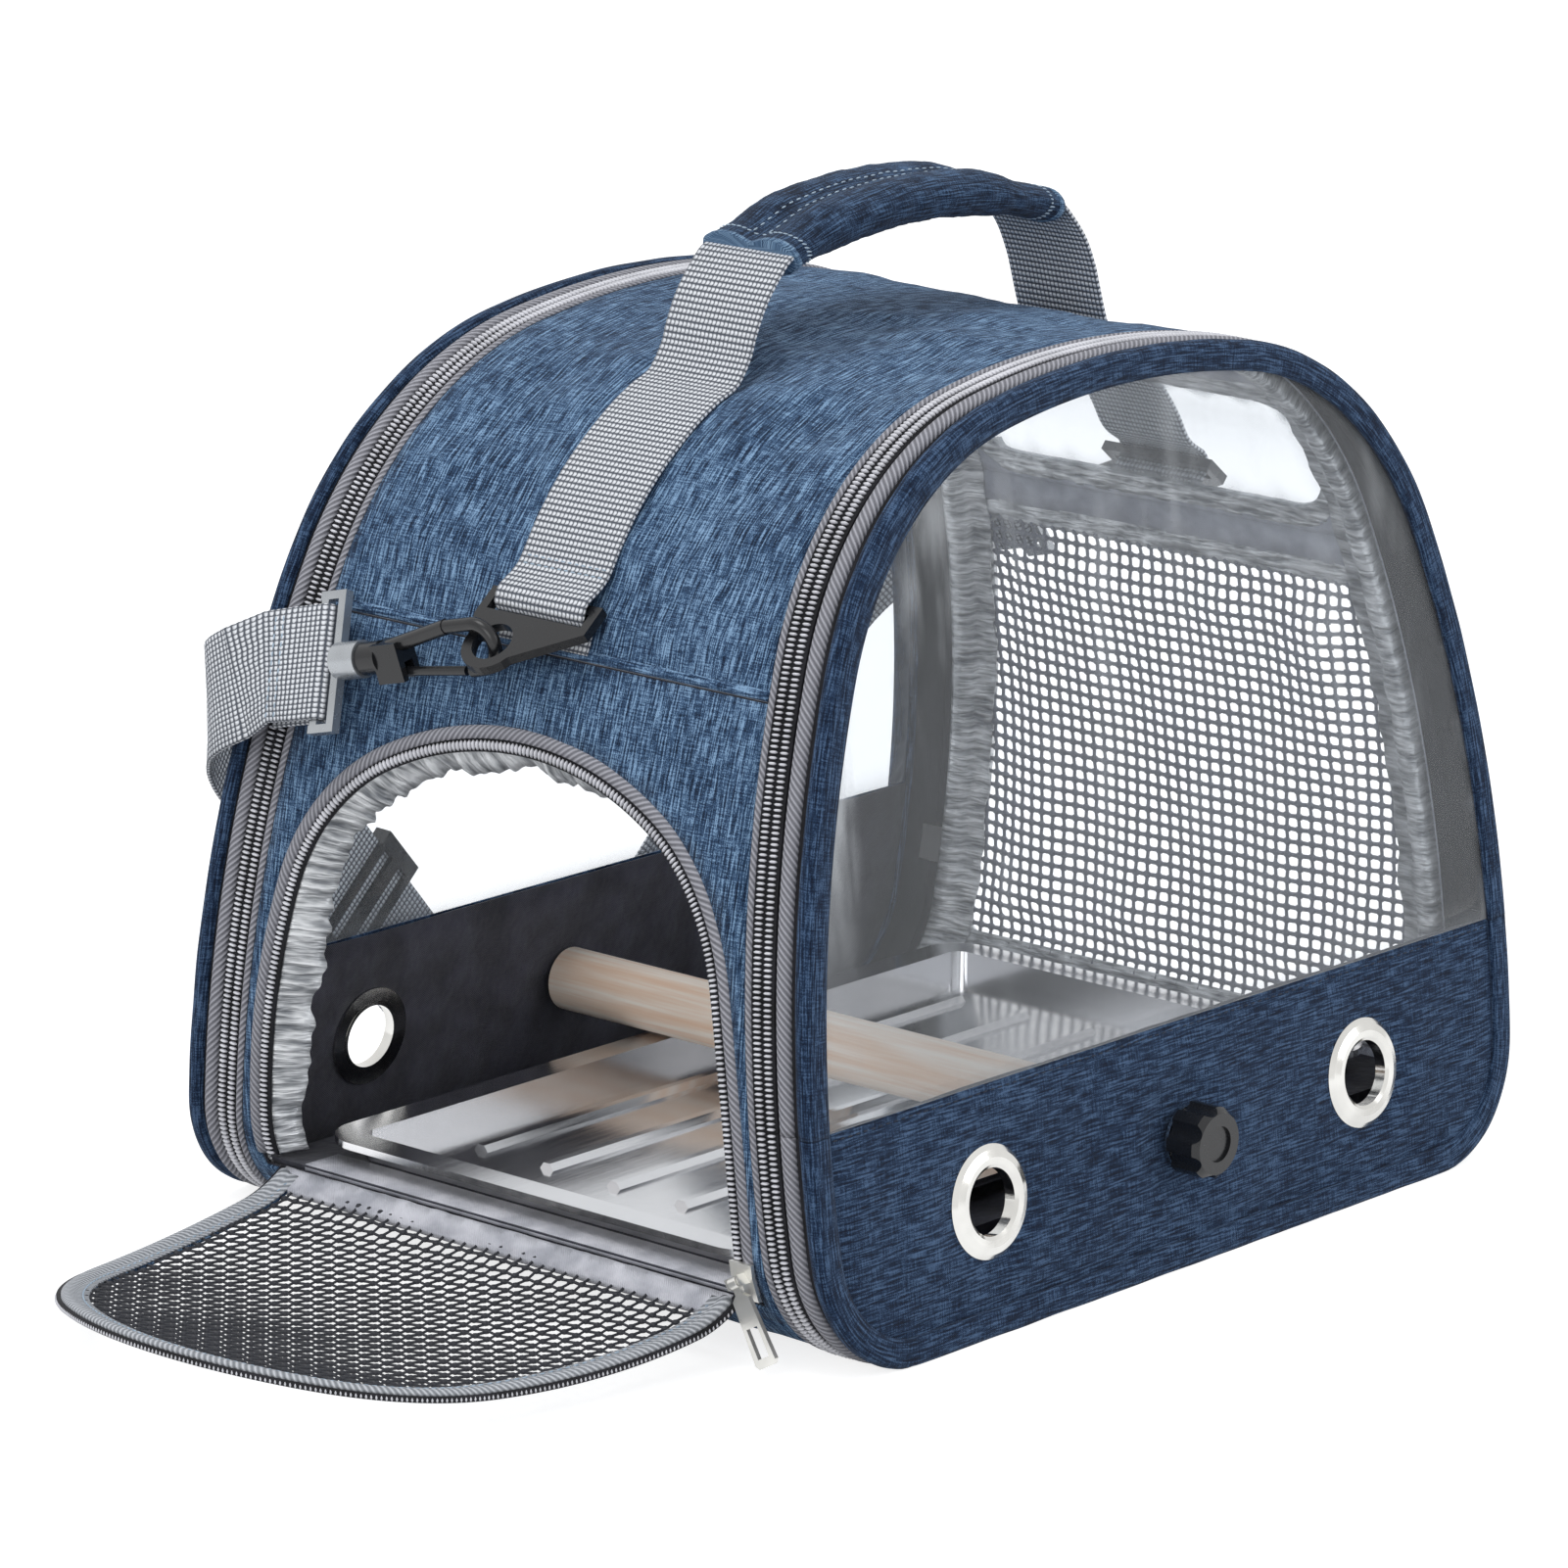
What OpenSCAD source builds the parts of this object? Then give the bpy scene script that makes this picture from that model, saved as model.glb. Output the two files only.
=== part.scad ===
// Bird travel carrier: a D-arched soft bag with a clear front and far panel, a net door
// that unzips at one end, a wooden perch, a steel tray, a carry handle and a shoulder strap.
// +X runs from the door end to the vent end, the front panel faces -Y, +Z is up.
// The origin is on the floor, in the middle of the bag's bottom.

/* [Bag body] */
// Length of the bag between its two ends
body_w = 360; // [320:5:432]
// Depth of the bag at the floor, from front panel to far panel
body_d = 288; // [256:2:346]
// Height of the bag without its handle
body_h = 297; // [260:1:356]
// Inward lean of the front and far panels in degrees
panel_lean = 6.5; // [0:0.5:8]
// Radius of the bottom corners
corner_r = 43; // [36:1:52]
// Turn of each end below level where its bottom corner ends, in degrees
corner_turn = 4.5; // [0:0.5:8]
// Radius of the long bow of each end
bow_r = 402; // [380:5:600]
// Radius of the shoulders
shoulder_r = 116; // [90:2:130]
// Rise of the crown between the shoulders
crown_rise = 4; // [3:0.5:8]

/* [Fabric and boards] */
// Thickness of the outer fabric
skin_t = 1.2; // [0.8:0.1:2]
// Thickness of the inner lining
lining_t = 0.8; // [0.5:0.1:1.2]
// Thickness of the clear film
film_t = 0.6; // [0.4:0.1:1]
// Thickness of the padded base board
board_t = 20; // [16:1:24]
// Height of the seam between the end panels and the roof
seam_z = 208; // [196:1:214]

/* [Panel edges] */
// Width of the piping seen from the front
piping_w = 9; // [6:0.5:12]
// Depth of the piping, measured along Y
piping_d = 6; // [5:0.5:8]
// Width of the ribbed zip tape
tape_w = 8.5; // [6:0.5:10]
// Width of one half of a closed zip chain
chain_w = 4; // [3:0.25:4.5]
// Height of the zip chain above and below its tape
chain_t = 2.8; // [2:0.2:3.4]
// Wire size of the spring steel hoops
hoop_t = 1.8; // [1.4:0.1:2]

/* [Bands, eyelets and perch] */
// Height of the fabric band below each clear window
band_h = 80; // [76:1:92]
// Height of the eyelets and the perch
perch_z = 43; // [41:1:46]
// Distance of each eyelet from the middle
eyelet_x = 97; // [80:1:105]
// Outer radius of an eyelet
eyelet_r = 18.5; // [16:0.5:20]
// Radius of the air hole in an eyelet
eyelet_hole_r = 11; // [9:0.5:12]
// Radius of the wooden perch
perch_r = 11; // [8:0.5:12]
// Radius of the perch screws
screw_r = 3; // [2.5:0.25:4]
// Radius of a star knob
knob_r = 12; // [10:0.5:14]
// Height of a star knob
knob_h = 12.5; // [10:0.5:14]
// Running clearance between a screw and its knob
thread_gap = 0.06; // [0.02:0.01:0.09]

/* [Door and vent] */
// Fabric left between each side of the door and the panel's edge at the floor
door_margin = 34; // [32:1:46]
// Height of the door opening above its sill
door_h = 165; // [150:1:172]
// How far the door sill lies below the tray
sill_drop = 3.6; // [0.6:0.1:4.6]
// Radius of the door's side bow
door_bow_r = 420; // [380:5:500]
// Radius of the door's shoulders
door_shoulder_r = 75; // [60:1:80]
// Rise of the door's crown
door_crown = 6; // [4:0.5:8]
// Angle between the closed and the open door
door_open = 92.7; // [85:0.1:95]
// Width of the door's inner binding
binding_w = 7; // [5:0.5:9]
// Pitch of the net threads
net_pitch = 13.5; // [13:0.5:16]
// Thickness of a net thread
net_thread = 1.6; // [1.2:0.1:2]
// Distance of each side of the roof window from the panel's edge at the floor
sky_margin = 60; // [59:1:84]

/* [Tray] */
// Clearance between the tray and each end of the bag
tray_end_gap = 17; // [15:1:50]
// Clearance between the tray's rim and each side of the door
tray_side_gap = 14; // [13.5:0.5:27]
// Height of the tray where the perch leaves room
tray_h = 8.5; // [6:0.5:9]
// Wall of the tray
tray_wall = 1; // [0.8:0.1:1.4]
// Width of the tray's rim
rim_w = 10; // [4:0.5:12]
// Number of raised ribs across the tray
rib_count = 5; // [3:1:6]

/* [Handle, webbing and strap] */
// Width of the webbing
web_w = 38; // [30:1:40]
// Thickness of the webbing
web_t = 1.6; // [1.2:0.1:2]
// Half of the distance between the two handle anchors
anchor_x = 88; // [80:1:95]
// Height of the top of the grip above the bag
handle_rise = 47; // [42:1:60]
// Half length of the padded grip
grip_l = 68; // [60:1:72]
// Radius of each padded roll of the grip
grip_r = 10; // [8.5:0.5:11]
// How far the handle flops to each side in degrees
flop = 35; // [15:1:40]
// Thickness of the bar that carries a strap ring
ring_bar = 3.6; // [3:0.2:4]
// Wire thickness of a snap hook
hook_wire = 4.6; // [4:0.2:5]

/* [Hidden] */
$fn = 48;

// Clear space that the cutting shapes run past the bag
far = 600;
// Small gap between pieces that lie next to each other
gap = 0.3;

// ---- Sizes that follow from the ones above
tray_z = lining_t + skin_t + gap + board_t + gap;
sill_z = tray_z - sill_drop;
door_w = body_d - 2*door_margin;
// a narrow door limits the radius of its own shoulders
door_turn_r = min(door_shoulder_r, 0.36*door_w);
sky_w = body_d/2 - sky_margin;
tray_l = body_w - 2*tray_end_gap;
tray_w = door_w - 2*tray_side_gap;

// ---- Outline of an arch, from its bottom right corner over the crown, in half and whole
function arc_pts(c, r, a, b, n) = [for (i = [0:n]) let (t = a + (b - a)*i/n) c + r*[cos(t), sin(t)]];
function tail(v) = [for (i = [1:len(v) - 1]) v[i]];
function turned_over(v) = [for (i = [len(v) - 2:-1:0]) [-v[i][0], v[i][1]]];
// centre of the side bow, centre of the shoulder, crown radius and the angles where they meet
function bow_c(w, rc, ac, rs) = [w/2 - rs, rc + (rs - rc)*sin(ac)];
function bow_end(w, h, rc, ac, rs, r2, k) = asin((h - r2 - k - bow_c(w, rc, ac, rs)[1])/(rs - r2));
function shoulder_c(w, h, rc, ac, rs, r2, k) = let (t = bow_end(w, h, rc, ac, rs, r2, k))
  bow_c(w, rc, ac, rs) + (rs - r2)*[cos(t), sin(t)];
function half_arch(w, h, rc, ac, rs, r2, k, o) = let (
    cs = bow_c(w, rc, ac, rs),
    c1 = [cs[0] + (rs - rc)*cos(ac), rc],
    a2 = bow_end(w, h, rc, ac, rs, r2, k),
    c2 = shoulder_c(w, h, rc, ac, rs, r2, k),
    q = (k*k + c2[0]*c2[0])/(2*k),
    c3 = [0, h - r2 - q],
    a3 = atan2(c2[1] - c3[1], c2[0]))
  concat(rc > 0 ? arc_pts(c1, rc + o, -90, -ac, 8) : [cs + (rs + o)*[1, 0]],
         tail(arc_pts(cs, rs + o, -ac, a2, 8)),
         tail(arc_pts(c2, r2 + o, a2, a3, 9)),
         tail(arc_pts(c3, q + r2 + o, a3, 90, 3)));
function whole_arch(v) = concat(v, turned_over(v));

// The bag's outline in X and Z, o outside its outer face
function bag(o) = whole_arch(half_arch(body_w, body_h, corner_r, corner_turn, bow_r, shoulder_r,
    crown_rise, o));
// The door's outline in Y and Z, o outside its outer zip edge, its base lifted by up
function door(o, up = 0) = [for (p = whole_arch(half_arch(door_w, door_h, 0, 0, door_bow_r,
    door_turn_r, door_crown, o))) [p[0], sill_z + max(p[1], up)]];

// Y of the front panel's outer face at a height
slope = tan(panel_lean);
function front_y(z) = -body_d/2 + z*slope;

// Points on the right end and shoulder of the bag, as X and Z
bow_mid = bow_c(body_w, corner_r, corner_turn, bow_r);
bow_top = bow_end(body_w, body_h, corner_r, corner_turn, bow_r, shoulder_r, crown_rise);
shoulder_mid = shoulder_c(body_w, body_h, corner_r, corner_turn, bow_r, shoulder_r, crown_rise);
corner_mid = [bow_mid[0] + (bow_r - corner_r)*cos(corner_turn), corner_r];
function corner_x(z, o) = corner_mid[0] + sqrt(pow(corner_r + o, 2) - pow(corner_r - z, 2));
function wall_at(t, o) = t >= bow_top ? shoulder_mid + (shoulder_r + o)*[cos(t), sin(t)]
                                      : bow_mid + (bow_r + o)*[cos(t), sin(t)];

// ---- Cutting and skin shapes
module along_y(pts) rotate([90, 0, 0]) linear_extrude(2*far, center = true) polygon(pts);
module along_x(pts) rotate([90, 0, 90]) linear_extrude(2*far, center = true) polygon(pts);
module bag_prism(o) along_y(bag(o));
module bag_ring(o_out, o_in) rotate([90, 0, 0]) linear_extrude(2*far, center = true)
  difference() { polygon(bag(o_out)); polygon(bag(o_in)); }
// space between two depths behind the front panel's face
module depth_slice(a, b) along_x([[front_y(-20) + a, -20], [front_y(-20) + b, -20],
  [front_y(body_h + 60) + b, body_h + 60], [front_y(body_h + 60) + a, body_h + 60]]);
// space between both panels, g inside each
module between_panels(g) along_x([[front_y(-20) + g, -20], [-front_y(-20) - g, -20],
  [-front_y(body_h + 60) - g, body_h + 60], [front_y(body_h + 60) + g, body_h + 60]]);
module above(z) translate([-far, -far, z]) cube([2*far, 2*far, far]);
module below(z) translate([-far, -far, z - far]) cube([2*far, 2*far, far]);
module end_side(s) translate([s > 0 ? 60 : -far - 60, -far, -far]) cube([far, 2*far, 2*far]);
module rim(o_out, o_in, a, b) intersection() { bag_ring(o_out, o_in); depth_slice(a, b); above(0); }
module at_far() mirror([0, 1, 0]) children();
module door_hole(o, s, up = 0) intersection() { along_x(door(o, up)); end_side(s); }
module door_ring(o_out, o_in, s, up = 0) difference() { door_hole(o_out, s); door_hole(o_in, s, up); }

// Depths behind the panel face where the zip's rows meet
tape_a = piping_d;
chain_a = piping_d + tape_w;
chain_b = chain_a + 2*chain_w + gap;
skin_a = chain_b + 3;
chain_up = 0.8;
chain_lo = chain_up - chain_t;
tape_o = -0.4;
tape_t = 0.9;
lining_o = -skin_t - lining_t;

// ---- Fabric body
module skin(lo, hi) intersection() {
  bag_ring(0, -skin_t);
  between_panels(skin_a);
  translate([-far, -far, lo]) cube([2*far, 2*far, hi - lo]);
}
module floor_panel() color("midnightblue") skin(-1, sill_z - 5);
module door_end_panel() color("steelblue") difference() {
  intersection() { skin(sill_z - 5, seam_z); end_side(-1); }
  door_hole(0, -1);
}
module vent_end_panel() color("steelblue") difference() {
  intersection() { skin(sill_z - 5, seam_z); end_side(1); }
  vent_hole(0);
}
// the roof window lies on the vent side's shoulder
sky_lo = seam_z + 2;
sky_hi = body_h - 32;
function sky(g) = let (r = 22) [for (c = [[1, 1, 0], [-1, 1, 90], [-1, -1, 180], [1, -1, 270]], i = [0:4])
  [c[0]*(sky_w - r), (sky_lo + sky_hi)/2 + c[1]*((sky_hi - sky_lo)/2 - r)]
  + (r + g)*[cos(c[2] + i*22.5), sin(c[2] + i*22.5)]];
module sky_hole(g) intersection() { along_x(sky(g)); end_side(1); }
module roof_panel() color("steelblue") difference() {
  skin(seam_z, body_h + 5);
  sky_hole(0);
}
module inner_lining() color([0.1, 0.1, 0.16]) difference() {
  intersection() { bag_ring(-skin_t, lining_o); between_panels(skin_a); }
  door_hole(0, -1);
  vent_hole(0);
  sky_hole(0);
}
module base_board() color([0.12, 0.12, 0.18]) intersection() {
  bag_prism(lining_o - 3*gap);
  between_panels(skin_a + 6);
  below(tray_z - gap);
}

// ---- Hoops sewn into the edge of the gusset, with their light binding
hoop_o = lining_o - 1;
binding_in = hoop_o - hoop_t - 1;
module hoop() rim(hoop_o, hoop_o - hoop_t, skin_a + 1, skin_a + 1 + hoop_t);
module edge_binding() difference() {
  rim(lining_o, binding_in, skin_a, skin_a + 2 + hoop_t);
  hoop();
}
module front_hoop() color("silver") hoop();
module back_hoop() color("silver") at_far() hoop();
module front_edge_binding() color("lightgray") edge_binding();
module back_edge_binding() color("lightgray") at_far() edge_binding();

// ---- Zips and piping around the panels
slider_z = 60;
slider_l = 13;
// the teeth part round the slider's wedge
module wedge(extra) translate([0, -far, slider_z + slider_l/2 - 3 - extra])
  cube([far, 2*far, 2 + 2*extra]);
module wedge_space(a, b, extra) intersection() {
  rim(chain_up + 3, chain_lo - 3, a - extra, b + extra);
  wedge(extra);
}
wedge_a = chain_a + chain_w - 0.8;
wedge_b = chain_a + chain_w + gap + 0.8;
module zip_outer() difference() {
  union() {
    rim(chain_up, chain_lo, chain_a + chain_w + gap, chain_b);
    rim(tape_o, tape_o - tape_t, chain_b - 0.01, skin_a);
  }
  wedge_space(wedge_a, wedge_b, gap);
}
module zip_inner() difference() {
  union() {
    rim(chain_up, chain_lo, chain_a, chain_a + chain_w);
    rim(tape_o, tape_o - tape_t, tape_a, chain_a + 0.01);
  }
  wedge_space(wedge_a, wedge_b, gap);
}
piping_flange = 2;
module piping() difference() {
  rim(chain_up, -piping_w, 0, piping_d);
  rim(-3, -piping_w - 5, piping_flange, piping_d + 5);
}
module front_zip_outer() color("dimgray") zip_outer();
module back_zip_outer() color("dimgray") at_far() zip_outer();
module front_band_piping() color("royalblue") intersection() { piping(); below(band_h); }
module front_band_zip() color("gray") intersection() { zip_inner(); below(band_h); }
module back_piping() color("royalblue") at_far() piping();
module back_zip_inner() color("gray") at_far() zip_inner();

// ---- The clear windows and the bands below them
pane_a = piping_flange;
band_t = 1.4;
module pane(lo, hi, t) intersection() {
  bag_prism(-3);
  depth_slice(pane_a, pane_a + t);
  translate([-far, -far, lo]) cube([2*far, 2*far, hi - lo]);
}
module front_window() color([0.8, 0.88, 0.95, 0.4]) pane(band_h + gap, body_h, film_t);
module back_window() color([0.8, 0.88, 0.95, 0.4]) at_far() pane(band_h + gap, body_h, film_t);
module front_window_piping() color("royalblue") intersection() { piping(); above(band_h + gap); }
module front_window_zip() color("gray") intersection() { zip_inner(); above(band_h + gap); }

// a frame on the front face, +Z outward and square to it
module on_front(x, z) translate([x, front_y(z), z]) rotate([90 - panel_lean, 0, 0]) children();
// a frame at the perch, +Z outward along the perch
module at_perch() translate([0, front_y(perch_z), perch_z]) rotate([90, 0, 0]) children();
barrel_t = 1.2;
module band() difference() {
  pane(0, band_h, band_t);
  for (s = [-1, 1]) on_front(s*eyelet_x, perch_z) translate([0, 0, -20])
    cylinder(r = eyelet_hole_r + barrel_t + 0.1, h = 40);
  at_perch() translate([0, 0, -20]) cylinder(r = screw_r + 0.6, h = 40);
}
module front_band() color("steelblue") band();
module back_band() color("steelblue") at_far() band();

// ---- Eyelets: a domed ring with its barrel, and the washer that it is closed on
face_in = pane_a*cos(panel_lean);
back_in = (pane_a + band_t)*cos(panel_lean);
module eyelet() {
  rotate_extrude() polygon([[eyelet_hole_r, -back_in - 1.2], [eyelet_hole_r, -0.6],
    [eyelet_hole_r + 1.2, 0.2], [eyelet_hole_r + 3.4, 0.5], [eyelet_r - 1.6, -0.4],
    [eyelet_r, -face_in + 0.4], [eyelet_r, -face_in + 0.05],
    [eyelet_hole_r + barrel_t, -face_in + 0.05], [eyelet_hole_r + barrel_t, -back_in - 1.2]]);
  rotate_extrude() translate([eyelet_hole_r + barrel_t + 0.1, -back_in - 1.05])
    square([eyelet_r - eyelet_hole_r - barrel_t - 1.5, 1]);
}
module eyelets() for (s = [-1, 1]) on_front(s*eyelet_x, perch_z) eyelet();
module front_eyelets() color("gainsboro") eyelets();
module back_eyelets() color("gainsboro") at_far() eyelets();

// ---- Perch, its screws, washers and knobs
washer_t = 1.2;
washer_r = 9;
inner_washer_z = -pane_a - band_t - washer_r*slope - gap - washer_t;
perch_end = inner_washer_z - gap;
screw_in = 22;
knob_z = washer_r*slope + 0.4;
screw_out = knob_z + knob_h - 3.2;
module perch() color("burlywood") difference() {
  translate([0, 0, perch_z]) rotate([90, 0, 0])
    cylinder(r = perch_r, h = 2*(-front_y(perch_z) + perch_end), center = true);
  for (s = [0, 1]) mirror([0, s, 0]) at_perch() translate([0, 0, perch_end - screw_in - 1])
    cylinder(r = screw_r + 0.05, h = screw_in + 5);
}
module perch_screw() at_perch() translate([0, 0, perch_end - screw_in])
  cylinder(r = screw_r, h = screw_in - perch_end + screw_out);
module front_perch_screw() color("silver") perch_screw();
module back_perch_screw() color("silver") at_far() perch_screw();
module washer(r, z, t) translate([0, 0, z]) difference() {
  cylinder(r = r, h = t);
  translate([0, 0, -1]) cylinder(r = screw_r + 0.1, h = t + 2);
}
outer_washer_z = knob_z - gap - washer_t;
module perch_washers() color("silver") for (s = [0, 1]) mirror([0, s, 0]) at_perch() {
  washer(washer_r, inner_washer_z, washer_t);
  washer(washer_r + 1.5, outer_washer_z, washer_t);
}
lobes = 7;
module knob() at_perch() translate([0, 0, knob_z]) difference() {
  union() {
    cylinder(r = knob_r, h = knob_h - 2);
    translate([0, 0, knob_h - 2.01]) cylinder(r1 = knob_r, r2 = knob_r - 1.8, h = 2);
  }
  for (i = [0:lobes - 1]) rotate(i*360/lobes)
    translate([knob_r + 2.6, 0, -1]) cylinder(r = 4.4, h = knob_h + 2);
  translate([0, 0, knob_h - 1]) cylinder(r = knob_r/2, h = 3);
  translate([0, 0, -1]) cylinder(r = screw_r + thread_gap, h = knob_h - 1.6);
}
module front_knob() color([0.08, 0.08, 0.09]) knob();
module back_knob() color([0.08, 0.08, 0.09]) at_far() knob();

// ---- Tray: a pan with rounded corners, a rolled rim and raised ribs
tray_r = 16;
module rounded(l, w, r, h) union() {
  translate([-l/2 + r, -w/2, 0]) cube([l - 2*r, w, h]);
  translate([-l/2, -w/2 + r, 0]) cube([l, w - 2*r, h]);
  for (x = [-1, 1], y = [-1, 1]) translate([x*(l/2 - r), y*(w/2 - r), 0]) cylinder(r = r, h = h);
}
rim_t = 2.4;
tray_up = min(tray_h, perch_z - perch_r - tray_z - 2*gap);
pan_l = tray_l - 2*rim_w;
pan_w = tray_w - 2*rim_w;
rib_w = 6;
rib_h = 2.2;
module tray() color("silver") translate([0, 0, tray_z]) {
  difference() {
    union() {
      rounded(pan_l, pan_w, tray_r - rim_w, tray_up);
      translate([0, 0, tray_up - rim_t]) rounded(tray_l, tray_w, tray_r, rim_t);
    }
    translate([0, 0, tray_wall])
      rounded(pan_l - 2*tray_wall, pan_w - 2*tray_wall, tray_r - rim_w - tray_wall, far);
  }
  for (i = [0:rib_count - 1])
    translate([-pan_l*0.4, (i + 0.5)*pan_w*0.86/rib_count - pan_w*0.43 - rib_w/2, tray_wall])
      rotate([0, 90, 0]) rotate(90) linear_extrude(pan_l*0.8)
        polygon([[0, 0], [rib_w, 0], [rib_w - 1.6, rib_h], [1.6, rib_h]]);
}

// ---- Door: the bag's half of the zip, the reveal inside it, and the flap
flap_a = 2*chain_w + 0.4;
flap_b = flap_a + chain_w;
flap_z = sill_z + 0.6;
hinge_z = sill_z + 0.4;
hinge_x = -corner_x(hinge_z, chain_up);
// the zip starts above the board, over the slider's wedge
post_h = 1.6;
zip_lo = tray_z + post_h + 0.7;
module wall_layer(o_out, o_in, lo) intersection() { bag_ring(o_out, o_in); above(lo); }
module door_zip_outer() color("dimgray") {
  intersection() {
    wall_layer(tape_o, tape_o - tape_t, zip_lo);
    door_ring(0, -chain_w - 0.01, -1);
  }
  intersection() {
    wall_layer(chain_up, chain_lo, zip_lo);
    door_ring(-chain_w, -2*chain_w, -1);
  }
}
module door_reveal() color("gainsboro") intersection() {
  wall_layer(chain_lo, chain_lo - 7, zip_lo);
  door_ring(-2*chain_w + 2.5, -2*chain_w + 0.5, -1);
}
module opened() translate([hinge_x, 0, hinge_z]) rotate([0, -door_open, 0])
  translate([-hinge_x, 0, -hinge_z]) children();
module door_flap_zip() color("gray") opened() intersection() {
  wall_layer(chain_up, chain_lo, flap_z);
  door_ring(-flap_a, -flap_b, -1);
}
net_o = -flap_b - binding_w;
module door_flap_binding() color("lightgray") opened() intersection() {
  wall_layer(0.3, -1.7, flap_z);
  door_ring(-flap_b, net_o, -1, binding_w);
}
// a net of crossing threads: across Y and up Z
module threads(half, lo, hi) {
  for (i = [-floor(half/net_pitch):floor(half/net_pitch)])
    translate([-far, i*net_pitch - net_thread/2, lo]) cube([2*far, net_thread, hi - lo]);
  for (i = [1:floor((hi - lo)/net_pitch)])
    translate([-far, -half, lo + i*net_pitch - net_thread/2]) cube([2*far, 2*half, net_thread]);
}
module door_net() color([0.08, 0.08, 0.1]) opened() intersection() {
  bag_ring(-0.3, -1.1);
  door_hole(net_o, -1, binding_w);
  threads(door_w/2 + net_o, sill_z + binding_w, sill_z + door_h + net_o);
}

// ---- Vent: a net in a light binding in the other end, and the clear window above it
vent_lo = sill_z + 5;
vent_hi = seam_z - 11;
function vent_half(z) = -front_y(z) - skin_a - 8;
function vent(g) = let (r = 12) [for (c = [[1, 1, 0], [-1, 1, 90], [-1, -1, 180], [1, -1, 270]], i = [0:4])
  let (z = c[1] > 0 ? vent_hi : vent_lo)
  [c[0]*(vent_half(z) - r), z - c[1]*r] + (r + g)*[cos(c[2] + i*22.5), sin(c[2] + i*22.5)]];
module vent_hole(g) intersection() { along_x(vent(g)); end_side(1); }
module vent_binding() color("lightgray") difference() {
  intersection() { bag_ring(-0.2, lining_o); vent_hole(0); }
  vent_hole(-binding_w);
}
module vent_net() color([0.08, 0.08, 0.1]) intersection() {
  bag_ring(-0.6, -1.4);
  vent_hole(-binding_w);
  threads(vent_half(vent_lo) - binding_w, vent_lo + binding_w, vent_hi - binding_w);
}
module roof_window_binding() color("lightgray") difference() {
  intersection() { bag_ring(-0.2, lining_o); sky_hole(0); }
  sky_hole(-binding_w);
}
module roof_window() color([0.8, 0.88, 0.95, 0.4]) intersection() {
  bag_ring(-0.6, -0.6 - film_t);
  sky_hole(-binding_w);
}

// ---- Zip sliders: two plates joined by a wedge, with ears and a pin for the pull
plate_o = chain_up + gap;
plate_t = 1.4;
ear_in = 1.9;
pin_r = 0.9;
pin_up = 2.8;
module ears() {
  for (s = [-1, 1]) translate([-plate_t/2, s*(ear_in + 0.6) - 0.6, -1.8]) cube([pin_up + 2.1, 1.2, 3.6]);
  translate([pin_up, 0, 0]) rotate([90, 0, 0]) cylinder(r = pin_r, h = 2*ear_in + 1.2, center = true);
}
pull_l = 28;
module pull() difference() {
  union() {
    translate([pin_up, 0, 0]) rotate([90, 0, 0]) cylinder(r = 2, h = 2*ear_in - 0.4, center = true);
    translate([pin_up - 0.8, 0, 0]) rotate([90, 0, 90]) linear_extrude(1.6)
      polygon([[-1.5, -0.4], [-1.5, -4], [-3.6, -5.6], [-4.6, -pull_l + 1.4], [-3.4, -pull_l],
        [3.4, -pull_l], [4.6, -pull_l + 1.4], [3.6, -5.6], [1.5, -4], [1.5, -0.4]]);
  }
  translate([pin_up, 0, 0]) rotate([90, 0, 0]) cylinder(r = pin_r + 0.05, h = 9, center = true);
  translate([pin_up - 3, -2.4, -pull_l + 3]) cube([6, 4.8, 10]);
}
// the door's slider is parked at the lower front corner of the opening
pull_z = tray_z + 7;
pull_y = -door_w/2 + chain_w;
pull_tilt = -30;
module at_door_pull() mirror([1, 0, 0])
  translate([corner_x(pull_z, plate_o + plate_t) - 0.2, pull_y, pull_z]) rotate([pull_tilt, 0, 0]) children();
module door_slider_part(o_out, o_in, y0, y1, h) intersection() {
  bag_ring(o_out, o_in);
  translate([-far, -door_w/2 + y0, tray_z]) cube([far, y1 - y0, h]);
}
module door_slider() color("silver") {
  door_slider_part(plate_o + plate_t, plate_o, -1, 2*chain_w, slider_l);
  door_slider_part(chain_lo - gap, chain_lo - gap - plate_t, chain_w, 2*chain_w - 3, slider_l);
  door_slider_part(plate_o + 0.2, chain_lo - gap - 0.2, chain_w, 2*chain_w - 3, post_h);
  at_door_pull() ears();
}
module door_pull() color("silver") at_door_pull() pull();

pull_depth = chain_a + chain_w;
slider_x = wall_at(asin((slider_z - bow_mid[1])/bow_r), plate_o + plate_t)[0];
module at_panel_pull() translate([slider_x - 0.2, front_y(slider_z) + pull_depth, slider_z]) children();
module slider_part(o_out, o_in, a, b, lo, hi) intersection() {
  rim(o_out, o_in, a, b);
  translate([0, -far, lo]) cube([far, 2*far, hi - lo]);
}
module panel_slider() {
  for (o = [plate_o + plate_t, chain_lo - gap])
    slider_part(o, o - plate_t, chain_a - gap, chain_b + gap, slider_z - slider_l/2, slider_z + slider_l/2);
  slider_part(plate_o + 0.2, chain_lo - gap - 0.2, wedge_a, wedge_b,
    slider_z + slider_l/2 - 3, slider_z + slider_l/2 - 1);
  at_panel_pull() ears();
}
module front_slider() color("silver") panel_slider();
module front_pull() color("silver") at_panel_pull() pull();
module back_slider() color("silver") at_far() panel_slider();
module back_pull() color("silver") at_far() at_panel_pull() pull();

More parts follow.
